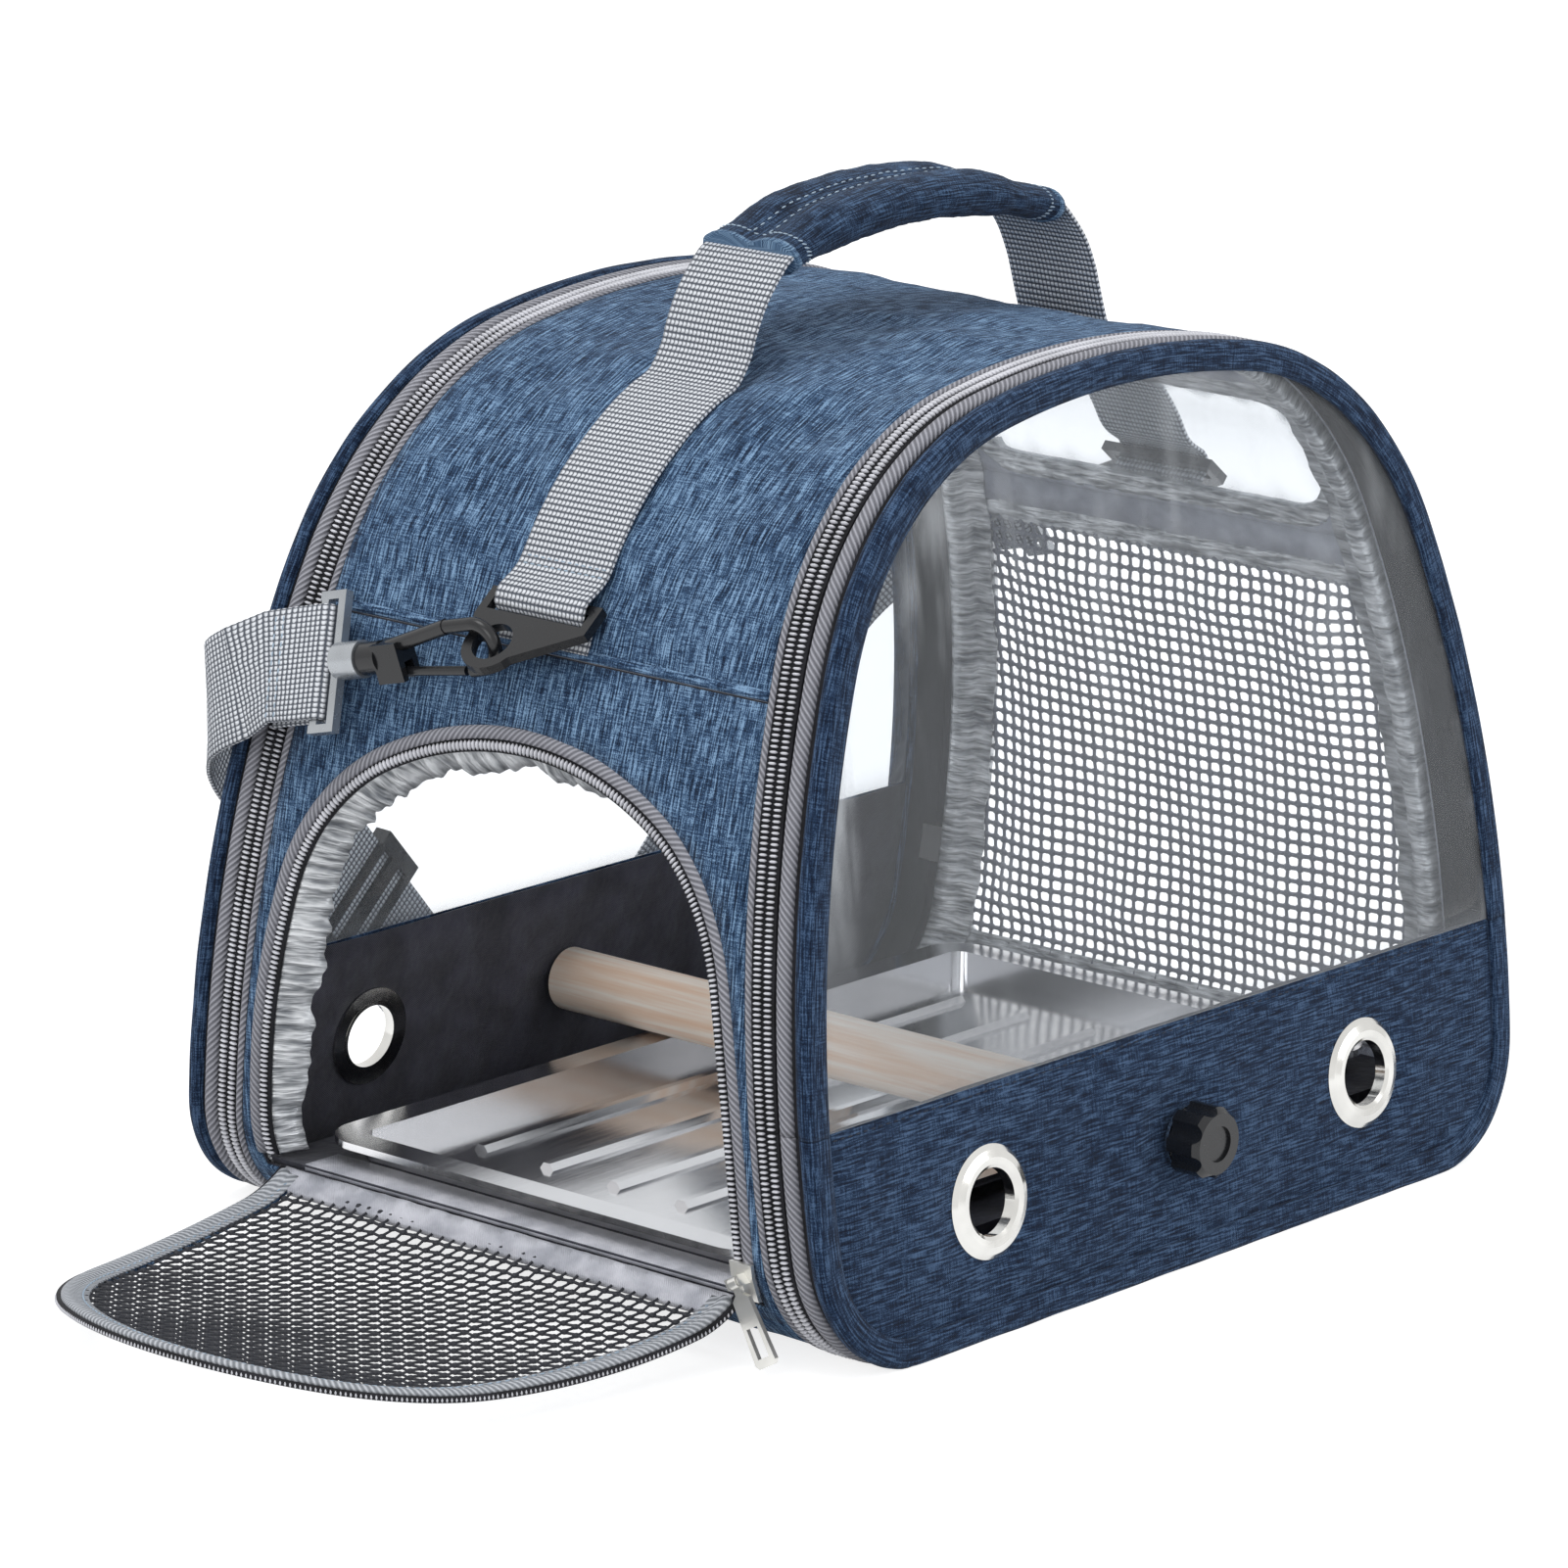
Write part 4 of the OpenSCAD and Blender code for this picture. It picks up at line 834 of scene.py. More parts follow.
# The ground strip and the teeth beds are near-black: painted shade in the gaps between and beside the zip's teeth.
INNER_SHADE_STRIP = [(6.1, -1.6), (18.5, -1.6), (18.5, -2.6), (6.1, -2.6)]
INNER_TEETH_BED = [(14.2, -1.6), (14.2, -0.5), (18.5, -0.5), (18.5, -1.6)]
OUTER_TEETH_BED = [(18.7, -2.2), (18.7, -0.5), (22.9, -0.5), (23.1, -0.1), (25.9, -0.1), (26.4, -0.6),
                   (26.4, -1.3), (23, -2.2)]
EDGE_CORD = [(23.1, -0.6), (23.2, 0.3), (24.0, 0.8), (25.0, 0.7), (25.6, 0.1), (25.7, -0.6)]
INNER_BINDING = [(26, -2.15), (34, -2.2), (42, -2.3), (42, -3.1), (35, -3.6), (34, -6.2), (31.5, -7.8),
                 (28, -8), (26, -7.2)]
TEETH_PITCH, TEETH_OFF_FLOOR = 1.75, 1.6
INNER_TEETH_A, OUTER_TEETH_A, TEETH_O = 16.4, 20.7, 0.1
SPLIT_Z = BAND_H + 0.3
BAND_S, WINDOW_S = s_at(BAND_H), s_at(SPLIT_Z)
ALL_ROUND = BAG.steps(0, BAG.total, 2.6)
BELOW = BAG.steps(ARCH_LENGTH - BAND_S, BAG.total + BAND_S, 2.6)
ABOVE = BAG.steps(WINDOW_S, ARCH_LENGTH - WINDOW_S, 2.6)


def piping_shape(s, p):
    a, o = p
    give = 0.25*wobble(s, a, o, 18) if o > -6 else 0
    return (a, min(o + give, 1.0))


def crinkle(s, p):
    """Sewn-on binding gathers into small irregular folds, and is narrower beside the door."""
    a, o = p
    if a < 27:
        return p
    x, z, _, _ = BAG.at(s)
    by_door = fade(-x - 100, 20)*fade(128 - z, 16)
    a -= 0.9*by_door*max(a - 31, 0)
    fold = wobble(s, a*0.4, 3, 7) + 0.6*wobble(s, a, 13, 3.2)
    reach = fade(a - 27, 10)
    return (a + 1.8*reach*wobble(s, 0, 31, 9)*(1 - by_door), min(o + 0.8*fold*reach - 0.3, -2.15))


def teeth(name, place, stations, across, out, body, slot, width=3.5):
    """A row of single zip teeth, left out where the bag stands on them."""
    count = round((stations[-1] - stations[0])/TEETH_PITCH)
    rows = [stations[0] + (stations[-1] - stations[0])*(i + 0.5)/count for i in range(count)]
    spots = [spot for spot in spots_along(place, rows, across, out, True) if spot[0].z > TEETH_OFF_FLOOR*MM]
    return repeated(name, spots, (width, 1.05, 2.0), ZIP_TEETH, body, slot)


def zip_row(name, place, stations, closed, tape, bed, across, body):
    """One half of a zip: its ribbed tape or edge cord, the near-black bed that paints the shade between and beside
    the teeth, and the teeth on it.
    """
    base = sweep(Build(), place, stations, bed, closed)
    if bed is INNER_TEETH_BED:
        sweep(base, place, stations, INNER_SHADE_STRIP, closed)
    main = base.piece(name + "_bed", ZIP_SHADE, body, "zip_grey")
    sweep(Build(), place, stations, tape, closed).piece(name + "_tape", ZIP_TAPE, body, "zip_grey")
    teeth(name + "_teeth", place, stations, across, TEETH_O, body, "zip_grey")
    return main


SIDES = ((-1, "front", "front"), (1, "far", "back"))
for side, label, cad in SIDES:
    place = rim_place(side)
    outer = zip_row(label + "_outer_zip", place, ALL_ROUND, True, EDGE_CORD, OUTER_TEETH_BED, OUTER_TEETH_A,
                    "bag")
    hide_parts(cad + "_zip_outer")
    binding = sweep(Build(), place, ALL_ROUND, INNER_BINDING, True, crinkle).piece(
        label + "_inner_binding", SILVER_BINDING, "bag", "binding_light")
    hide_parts(cad + "_edge_binding")
    if side > 0:
        inner = zip_row("far_inner_zip", place, ALL_ROUND, True, TAPE_ROLL, INNER_TEETH_BED, INNER_TEETH_A, "bag")
        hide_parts("back_zip_inner")
        roll = sweep(Build(), place, ALL_ROUND, PIPING, True, piping_shape).piece(
            "far_piping", SHADED_DENIM, "bag", "piping_blue")
        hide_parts("back_piping")
        continue
    for part, stations, body, nodes in (
            ("band", BELOW, "bag", ("front_band_zip", "front_band_piping")),
            ("window", ABOVE, "front_flap", ("front_window_zip", "front_window_piping"))):
        inner = zip_row("front_%s_inner_zip" % part, place, stations, False, TAPE_ROLL, INNER_TEETH_BED,
                        INNER_TEETH_A, body)
        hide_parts(nodes[0])
        roll = sweep(Build(), place, stations, PIPING, False, piping_shape).piece(
            "front_%s_edge" % part, SHADED_DENIM, body, "piping_blue")
        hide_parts(nodes[1])


# -------- bands and clear windows
def panel_place(side, depth):
    """Puts a point on the leaning front or far panel, depth behind its face."""
    def place(x, z, o):
        y = front_y(z) + depth - o
        return Vector((x, y if side < 0 else -y, z))*MM
    return place


def bag_arc(s0, s1, o, step=5):
    return [(x + nx*o, z + nz*o) for x, z, nx, nz in (BAG.at(s) for s in BAG.steps(s0, s1, step))]


def hole_at(x, r, count=40):
    """A round hole in the band at the perch's height."""
    return [(x + r*math.cos(2*math.pi*i/count), PERCH_Z + r*math.sin(2*math.pi*i/count)) for i in range(count)]


BAND_OUTLINE = refined(bag_arc(ARCH_LENGTH - BAND_S, BAG.total + BAND_S, -2.6), 5)
BAND_HOLES = [hole_at(-EYELET_X, EYELET_HOLE_R), hole_at(EYELET_X, EYELET_HOLE_R), hole_at(0, SCREW_HOLE_R, 20)]
PANE_OUTLINE = refined(bag_arc(WINDOW_S, ARCH_LENGTH - WINDOW_S, -2.6), 5)


def off_metal(x, z, knob_r):
    """0 round the eyelets and the perch's end, 1 away from them."""
    up = z - PERCH_Z
    return min(fade(math.hypot(abs(x) - EYELET_X, up) - 17, 12), fade(math.hypot(x, up) - knob_r, 10))


def band_swell(x, z):
    edge = fade(min(z - 4, BAND_H - z, BODY_W/2 - 8 - abs(x)), 14)
    return edge*off_metal(x, z, 14)*(1.1 + 0.9*wobble(x, z, 2, 45) + 0.5*wobble(x, z, 8, 16))


def lining_swell(x, z):
    edge = fade(min(z - 4, BODY_W/2 - 8 - abs(x)), 14)
    return -edge*off_metal(x, z, 12)*(1.2 + 1.6*wobble(x*0.5, z, 12, 30) + 0.6*wobble(x, z, 18, 11))


def film_swell(x, z):
    """Clear film bows a little and ripples between its sewn edges."""
    edge = fade(min(z - BAND_H, BODY_W/2 - 10 - abs(x)), 30)
    return edge*(1.6*wobble(x, z, 60, 120) + 0.7*wobble(x*1.6, z*0.5, 70, 48))


for side, label, cad in SIDES:
    cloth = sheet(label + "_band_cloth", BAND_OUTLINE, BAND_HOLES, panel_place(side, 2), band_swell,
                  lambda x, z: band_swell(x, z) - 0.8, 5, SHADED_DENIM, "bag", "fabric_blue")
    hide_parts(cad + "_band")
    sheet(label + "_band_lining", BAND_OUTLINE, BAND_HOLES, panel_place(side, 3.0), lining_swell,
          lambda x, z: lining_swell(x, z) - 0.5, 6, DARK_LINING, "bag", "lining")
    film = sheet(label + "_film", PANE_OUTLINE, [], panel_place(side, 2), film_swell,
                 lambda x, z: film_swell(x, z) - 0.6, 9, FILM, "front_flap" if side < 0 else "bag",
                 "clear_film")
    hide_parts(cad + "_window")
    place, half, z = panel_place(side, 2), wall_x(BAND_H, -9), BAND_H - 2.2
    spots = [(place(x, z, band_swell(x, z) + 0.15), Vector((1, 0, 0)), Vector((0, side, 0)))
             for x in np.arange(-half, half, 3.6)]
    repeated(label + "_band_top_stitches", spots, (2.6, 0.6, 0.5), DARK_THREAD, "bag", "fabric_blue")

# -------- roof window and vent
sky_film = sheet("roof_film", on_end(SKY, 1, -BINDING_W + 1), [], wall_place, -0.7, -1.3, 9, FILM, "bag",
                 "clear_film")
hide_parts("roof_window")


def binding_swell(s, y):
    return 0.35*wobble(s, y, 4, 5) + 0.25*wobble(s, y, 9, 2.4)


for name, shape, node in (("roof_window_edge", SKY, "roof_window_binding"),
                          ("vent_edge", VENT, "vent_binding")):
    ring = sheet(name, on_end(shape, 1, 0.6), [on_end(shape, 1, -BINDING_W)], wall_place,
                 lambda s, y: 0.25 + binding_swell(s, y), lambda s, y: -2.1 + binding_swell(s, y), 2.2,
                 SILVER_BINDING, "bag", "binding_light")
    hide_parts(node)


def strands(build, lines, place, width, thick):
    """One thin thread along each line of (u, v, o) points."""
    around = [0, width*MM/2, width*MM, width*MM*1.5, width*MM*2]
    for line in lines:
        rings, along = [], [0.0]
        for i, (u, v, o) in enumerate(line):
            before, after = line[max(i - 1, 0)], line[min(i + 1, len(line) - 1)]
            du, dv = after[0] - before[0], after[1] - before[1]
            size = math.hypot(du, dv)
            au, av = -dv/size*width/2, du/size*width/2
            rings.append([place(u + au, v + av, o), place(u, v, o + thick/2), place(u - au, v - av, o),
                          place(u, v, o - thick/2)])
            along.append(along[-1] + size*MM/2)
        build.loft(rings, along, around)
    return build


def net_lines(outline, pitch, height):
    """Threads both ways inside an outline, passing over and under one another."""
    lo, hi = np.min(outline, axis=0), np.max(outline, axis=0)
    lines, knots = [], []
    for way in (0, 1):
        for k in range(1, int((hi[way] - lo[way])/pitch) + 1):
            fixed = lo[way] + k*pitch
            moving = np.arange(lo[1 - way], hi[1 - way] + 0.01, pitch/2)
            points = np.array([(fixed, m) if way == 0 else (m, fixed) for m in moving])
            run = []
            for i, (p, here) in enumerate(zip(points, inside(points, outline))):
                if here:
                    lift = 0.28*math.cos(math.pi*(i/2 + k + way))
                    run.append((p[0], p[1], height(p[0], p[1]) + lift))
                    if way == 0 and i % 2 == 0:
                        knots.append((p[0], p[1]))
                if (not here or i == len(points) - 1) and run:
                    if len(run) > 2:
                        lines.append(run)
                    run = []
    return lines, knots


def net(name, outline, pitch, width, height, place, look, body, slot, node):
    """Woven threads with a knot at each crossing."""
    lines, knots = net_lines(outline, pitch, height)
    piece = strands(Build(), lines, place, width, width*0.75).piece(name, look, body, slot)
    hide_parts(node)
    spots = []
    for u, v in knots:
        p = place(u, v, height(u, v))
        ahead = (place(u + 1, v, height(u + 1, v)) - p).normalized()
        up = (place(u, v, height(u, v) + 1) - p).normalized()
        spots.append((p, ahead, up))
    repeated(name + "_knots", spots, (width*2.1, width*2.1, width*1.3), look, body, slot)


def vent_height(s, y):
    """The vent's net is cut generously and hangs in a few upright folds."""
    edge = fade(min(s - s_at(VENT_LO) - 8, s_at(VENT_HI) - 8 - s, half_depth(s, SKIN_A) - 16 - abs(y)), 20)
    return -1.4 - edge*(3.2 + 3.0*wobble(s*0.25, y, 90, 24))


VENT_PITCH, VENT_THREAD = 4.8, 1.6
net("vent_mesh", on_end(VENT, 1, -BINDING_W + 2), VENT_PITCH, VENT_THREAD, vent_height, wall_place, HAZED_VENT_YARN,
    "bag", "net_black", "vent_net")

# -------- the door's zip and reveal
door_place = end_place(DOOR_ROUTE, -1)
DOOR_LINE = DOOR_ROUTE.steps(6, DOOR_ROUTE.total - 6, 2.6)
# The near-black bed under the door's teeth is painted shade between them.
door_bed = sweep(Build(), door_place, DOOR_LINE, [(-3.7, -1.7), (-3.7, -0.5), (-8, -0.5), (-8, -1.7)]).piece(
    "door_zip_bed", ZIP_SHADE, "bag", "zip_grey")
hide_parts("door_zip_outer")
sweep(Build(), door_place, DOOR_LINE, [
    (0.3, -1.3), (0.3, 0.1), (-0.5, 0.8), (-2, 1.0), (-3.4, 0.6), (-3.9, -0.2), (-3.9, -1.3)]).piece(
        "door_zip_tape", ZIP_TAPE, "bag", "zip_grey")
DOOR_TEETH_L, FLAP_TEETH_L = -5.9, -9.9
teeth("door_teeth", door_place, DOOR_LINE, DOOR_TEETH_L, TEETH_O, "bag", "zip_grey")


def ruffle(s, p):
    """The reveal's free edge is gathered into uneven folds, drawn in near the sill."""
    l, o = p
    free = fade(-7 - l, 5)
    room = 0.35 + 0.65*fade(min(s, DOOR_ROUTE.total - s) - 14, 22)
    fold = 2.6*wobble(s, 0, 7, 11) + 1.5*wobble(s, 0, 17, 5) + 0.5*math.sin(s*0.9)
    deep = 1.6*wobble(s, 3, 9, 8) + 0.8*wobble(s, 13, 29, 3.6)
    return (-7 + (l + 7)*room + free*fold*room if l < -7 else l, o + free*deep*room)


REVEAL = [(-5.6, -2.2), (-7.8, -2.25), (-8.8, -3.6), (-10.6, -5.6), (-12.8, -8.4), (-15.2, -12),
          (-14.5, -12.6), (-12.0, -9.2), (-9.6, -6.4), (-7.6, -4.8), (-5.6, -3.6)]
reveal = sweep(Build(), door_place, DOOR_ROUTE.steps(6, DOOR_ROUTE.total - 6, 1.3), REVEAL, shape=ruffle).piece(
    "door_ruffle", SILVER_BINDING, "bag", "binding_light")
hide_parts("door_reveal")

# The sill's satin lies over the base board's edge, as points of X and Z.
SILL_LIP = [(-169.15, 20.4), (-169.15, 21.9), (-168.9, 22.34), (-154, 22.34), (-154, 22.5), (-169.2, 22.5),
            (-169.6, 22.0), (-169.5, 20.4)]
sweep(Build(), lambda y, x, z: Vector((x, y, z))*MM, [-94 + 2*i for i in range(95)], SILL_LIP).piece(
    "sill_binding", SILL_SATIN, "bag", "binding_light")

# -------- the door flap, built shut and then opened
flap_place = opened(door_place)
FLAP_LINE = DOOR_ROUTE.steps(1.2, DOOR_ROUTE.total - 1.2, 2.6)


def on_flap(y, z, o):
    """A point of the door's cloth, built shut and then opened."""
    return OPENING @ (Vector((-wall_x(z, o), y, z))*MM)


# The near-black bed under the flap's teeth is painted shade between them.
flap_bed = sweep(Build(), flap_place, FLAP_LINE, [(-9, -1.5), (-9, 0.4), (-12.6, 0.4), (-12.6, -1.5)]).piece(
    "flap_zip_bed", ZIP_SHADE, "door_flap", "zip_grey")
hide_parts("door_flap_zip")
teeth("flap_teeth", flap_place, FLAP_LINE, FLAP_TEETH_L, -0.5, "door_flap", "zip_grey", 3.0)
flap_tape = sweep(Build(), flap_place, DOOR_ROUTE.steps(3.6, DOOR_ROUTE.total - 3.6, 2.6), [
    (-10.4, -1.3), (-10.5, -2.2), (-11.6, -3.0), (-13.2, -3.2), (-14.8, -2.8), (-15.8, -2.1), (-19.2, -1.9),
    (-19.4, -1.3)]).piece("flap_edge_tape", EDGE_TAPE, "door_flap", "binding_light")
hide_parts("door_flap_binding")
sweep(Build(), flap_place, FLAP_LINE, [
    (-11, -1.2), (-19.2, -1.2), (-19.3, -0.4), (-18.6, 0.5), (-15, 0.9), (-12.4, 1.0), (-11, 0.4)]).piece(
    "flap_back_cloth", DENIM, "door_flap", "fabric_blue")
FLAP_NET = [p for p in grown(DOOR_ROUTE.points, -17.5) if p[1] > SILL_Z + 5]
FLAP_PITCH, FLAP_THREAD = 4.9, 1.35
net("flap_mesh", FLAP_NET, FLAP_PITCH, FLAP_THREAD, lambda y, z: -0.9 + 0.8*wobble(y, z, 3, 40), on_flap,
    NET_YARN, "door_flap", "net_black", "door_net")
SILL_HALF, STRIP_LOW, STRIP_HIGH = DOOR["width"]/2 - 12, SILL_Z + 1.4, SILL_Z + 9
sill_strip = [(-SILL_HALF, STRIP_LOW), (SILL_HALF, STRIP_LOW), (SILL_HALF, STRIP_HIGH), (-SILL_HALF, STRIP_HIGH)]
sheet("flap_sill_strip", refined(sill_strip, 3), [], on_flap, lambda y, z: 0.3 + 0.25*wobble(y, z, 5, 6),
      lambda y, z: -1.7 - 0.5*abs(wobble(y, z*0.5, 15, 8)), 2.5, SILL_SATIN, "door_flap", "binding_light")
stitch_line = spots_along(flap_place, DOOR_ROUTE.steps(8, DOOR_ROUTE.total - 8, 3.4), -17.4, -2.1)
repeated("flap_stitches", [(p, a, -u) for p, a, u in stitch_line], (2.3, 0.6, 0.5), THREAD, "door_flap",
         "binding_light")

# -------- carry webbing and grip
BOW, SHOULDER, BOW_TOP = MARKS["bow"], MARKS["shoulder"], MARKS["top"]


def shoulder_point(turn, o):
    """A point of the right wall by its angle about the shoulder, or about the bow below it."""
    centre, radius = (SHOULDER, SHOULDER_R) if turn >= BOW_TOP else (BOW, BOW_R)
    return (centre[0] + (radius + o)*math.cos(turn), centre[1] + (radius + o)*math.sin(turn))


RING_Z = SEAM_Z + 14
RING_TURN = math.asin((RING_Z - SHOULDER[1])/SHOULDER_R)
RING_UP, RING_BAR = 3.9, 3.6
WEB_O = GAP + WEB_T/2
BAR_O = RING_UP + RING_BAR/2 + 0.6 + WEB_T/2


def on_wall(s, o):
    """On the right wall, s above the ring along the fabric."""
    over = (RING_TURN - BOW_TOP)*SHOULDER_R + s
    return shoulder_point(RING_TURN + s/SHOULDER_R if over >= 0 else BOW_TOP + over/BOW_R, o)


def anchor_turn(x):
    return math.acos((x - SHOULDER[0])/SHOULDER_R)


def anchor_height(x):
    return shoulder_point(anchor_turn(x), GAP + WEB_T)[1]


def side_points(x):
    """From the sewn tail below the ring, over the ring's bar and up the roof to the anchor."""
    low, top = RING_TURN + 14/SHOULDER_R, anchor_turn(x) - 0.05
    tail = [on_wall(-13, WEB_O), on_wall(-6.4, WEB_O), on_wall(-4.7, WEB_O + 1.6), on_wall(-3.9, BAR_O - 1.6),
            on_wall(-1.8, BAR_O), on_wall(2, BAR_O), on_wall(4.5, BAR_O - 1.6), on_wall(9, WEB_O + 1.4)]
    return tail + [shoulder_point(low + (top - low)*i/9, WEB_O) for i in range(10)]


RIGHT_X, LEFT_X = ANCHOR_X + HANDLE_SHIFT, ANCHOR_X - HANDLE_SHIFT
AXIS_Z = max(anchor_height(RIGHT_X), anchor_height(LEFT_X)) + 1.2
GRIP_Z = GRIP_TOP - GRIP_R - 0.4
GRIP_ARC = (GRIP_L**2 + GRIP_SAG**2)/(2*GRIP_SAG)
GRIP_TURN = math.asin(GRIP_L/GRIP_ARC)
RISE = GRIP_Z - GRIP_SAG - AXIS_Z


def riser_points(x, way):
    end = HANDLE_SHIFT + way*GRIP_L
    return [(way*x*(1 - k) + end*k, AXIS_Z + up) for k, up in
            ((0.0, 4), (0.12, RISE*0.32), (0.38, RISE*0.62), (0.75, RISE*0.88))]


def smooth_through(points, count):
    """A smooth curve through points, with count steps between each two."""
    out = []
    for i in range(len(points) - 1):
        a, b, c = points[max(i - 1, 0)], points[i], points[i + 1]
        d = points[min(i + 2, len(points) - 1)]
        for k in range(count):
            t = k/count
            out.append(tuple(b[j] + (c[j] - a[j])*t/2 + (2*a[j] - 5*b[j] + 4*c[j] - d[j])*t*t/2
                             + (3*(b[j] - c[j]) + d[j] - a[j])*t**3/2 for j in range(len(b))))
    return out + [tuple(points[-1])]


def with_normals(points):
    out = []
    for i, (x, z) in enumerate(points):
        a, b = points[max(i - 1, 0)], points[min(i + 1, len(points) - 1)]
        size = math.hypot(b[0] - a[0], b[1] - a[1])
        out.append((x, z, (b[1] - a[1])/size, -(b[0] - a[0])/size))
    return out


arc_points = [(HANDLE_SHIFT + GRIP_ARC*math.sin(t), GRIP_Z - GRIP_ARC*(1 - math.cos(t)))
              for t in (GRIP_TURN*(1 - i/6) for i in range(13))]
carry_points = (side_points(RIGHT_X) + riser_points(RIGHT_X, 1) + arc_points
                + riser_points(LEFT_X, -1)[::-1] + [(-x, z) for x, z in side_points(LEFT_X)[::-1]])
CARRY = Route(with_normals(smooth_through(carry_points, 5)))
RIBBON = [(-19, -0.45), (-19, 0.45), (-18.5, 0.8), (-9, 0.8), (0, 0.8), (9, 0.8), (18.5, 0.8), (19, 0.45),
          (19, -0.45), (18.5, -0.8), (9, -0.8), (0, -0.8), (-9, -0.8), (-18.5, -0.8)]


def carry_place(s, y, o):
    x, z, nx, nz = CARRY.at(s)
    return Vector((x + nx*o, y, z + nz*o))*MM


def ribbon_wave(s, p):
    """Worn webbing curls a little along its edges."""
    y, o = p
    return (y + 0.25*wobble(s, 0, 2 + y*0.01, 30), o + 0.12*wobble(s, y*2, 4, 14))


carry = sweep(Build(), carry_place, CARRY.steps(0, CARRY.total, 2.0), RIBBON, shape=ribbon_wave).piece(
    "carry_webbing", WEBBING, None, "webbing_grey")
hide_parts("left_webbing", "right_webbing", "handle_webbing")
(AXIS_Z + 1)*MM
(AXIS_Z + 20)*MM
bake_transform(carry)


# Rows of stitches sewn across the webbing where it loops round its rings.
ROW_HALF, ROW_PITCH, ROW_OUT, ROW_STITCH = 16.5, 2.9, 0.85, (2.2, 0.6, 0.5)
loop_spots = []
for s in (30, 33, CARRY.total - 30, CARRY.total - 33):
    for y in np.arange(-ROW_HALF, ROW_HALF + 0.1, ROW_PITCH):
        p = carry_place(s, y, ROW_OUT)
        up = (carry_place(s, y, ROW_OUT + 1) - p).normalized()
        loop_spots.append((p, (carry_place(s, y + 1, ROW_OUT) - p).normalized(), up))
repeated("ring_loop_stitches", loop_spots, ROW_STITCH, THREAD, "bag", "webbing_grey")


def grip_place(t, y, o):
    """Along the grip's arc by angle, y across and o away from its middle line."""
    reach = GRIP_ARC + o
    return Vector((HANDLE_SHIFT + reach*math.sin(t), y, GRIP_Z - GRIP_ARC + reach*math.cos(t)))*MM


def grip_section():
    points = []
    for sy in (1, -1):
        turns = [math.radians(-128 + 256*i/20) for i in range(21)]
        roll = [(sy*(10.2 + 10.2*math.cos(t)), 10.0*math.sin(t)) for t in turns]
        points += roll if sy > 0 else roll[::-1]
        points.append((0.0, 5.8*sy))
    return points


def grip_shape(t, p):
    """Full over the padding, thinner towards the cut ends where only cloth is left."""
    y, o = p
    padded = fade(0.82 - abs(t/GRIP_TURN + 0.06), 0.3)
    full = 0.58 + 0.2*padded + 0.03*wobble(t*900, 0, 5, 30)
    crease = 1 + 0.03*wobble(t*900, y*3, o*3, 26) + 0.02*wobble(t*900, y*5, o*5, 8)
    return (y*(0.97 + 0.03*padded)*crease, o*full*crease - (1 - padded)*0.8)


GRIP_END = GRIP_TURN - 0.006
GRIP_OUTLINE = grip_section()


def grip_rings(stations, grow):
    return [[grip_place(t, *grip_shape(t, (y*g, o*g))) for y, o in GRIP_OUTLINE]
            for t, g in zip(stations, grow)]


grip_stations = [-GRIP_END + 2*GRIP_END*i/90 for i in range(91)]
grip = Build().loft(grip_rings(grip_stations, [1]*91), [t*GRIP_ARC*MM for t in grip_stations],
                    perimeter(GRIP_OUTLINE)).piece("grip_pad", GRIP_CLOTH, "handle", "grip_fabric")
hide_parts("handle_grip")
stitch_spots = []
for y in (-3.4, 3.4):
    for t in np.arange(-GRIP_END + 0.03, GRIP_END - 0.03, 3.6/GRIP_ARC):
        p = grip_place(t, *grip_shape(t, (y, 8.3)))
        stitch_spots.append((p, Vector((math.cos(t), 0, -math.sin(t))), Vector((math.sin(t), 0, math.cos(t)))))
for way, label in ((1, "right"), (-1, "left")):
    ends = [way*(GRIP_END + dt) for dt in (0.0035, 0.0035, -0.0045, -0.0045)]
    rings = grip_rings(ends, (0.95, 1.035, 1.035, 0.97))
    if way > 0:
        rings.reverse()
    # Each cut end's rim takes the lighter denim, a painted highlight.
    Build().loft(rings, [0, 0.001, 0.003, 0.005, 0.006], perimeter(GRIP_OUTLINE)).piece(
        "grip_%s_edge" % label, GRIP_EDGE_HIGHLIGHT, "handle", "grip_fabric")
    t = way*(GRIP_END - 5.5/GRIP_ARC)
    outline = [Vector(grip_place(t, *grip_shape(t, (y*1.01, o*1.01)))) for y, o in GRIP_OUTLINE]
    for a, b in zip(outline, outline[1:] + outline[:1]):
        count = max(1, round((b - a).length/0.0031))
        out = Vector((0, 0, 1)) if (a + b).z/2 > (GRIP_Z - 6)*MM else Vector((0, 0, -1))
        stitch_spots += [(a.lerp(b, (k + 0.5)/count), (b - a).normalized(), out) for k in range(count)]
repeated("grip_stitches", stitch_spots, (2.4, 0.6, 0.6), THREAD, "handle", "grip_fabric")

# -------- shoulder strap
def turned_by(degrees, axis):
    return Matrix.Rotation(math.radians(degrees), 3, axis)


RING_ROOT = Vector((*shoulder_point(RING_TURN, 0), 0)).xzy
LEAN_OUT = Matrix.Rotation(-RING_TURN, 3, "Y")
HOOK_ROOT = Vector((RING_UP, 0, 0)) + turned_by(-28, "Y") @ Vector((0, 9, -19))
STRAP_TURN = LEAN_OUT @ turned_by(3, "Z") @ turned_by(-13.5, "X") @ turned_by(90, "Z")
STRAP_T = 1.6
BAR_X, LOOP_R = 56.4 + 9.6 + 9, 1.7 + 0.35 + STRAP_T/2


def strap_frame(x, y):
    return RING_ROOT + LEAN_OUT @ HOOK_ROOT + STRAP_TURN @ Vector((x, y, 0))


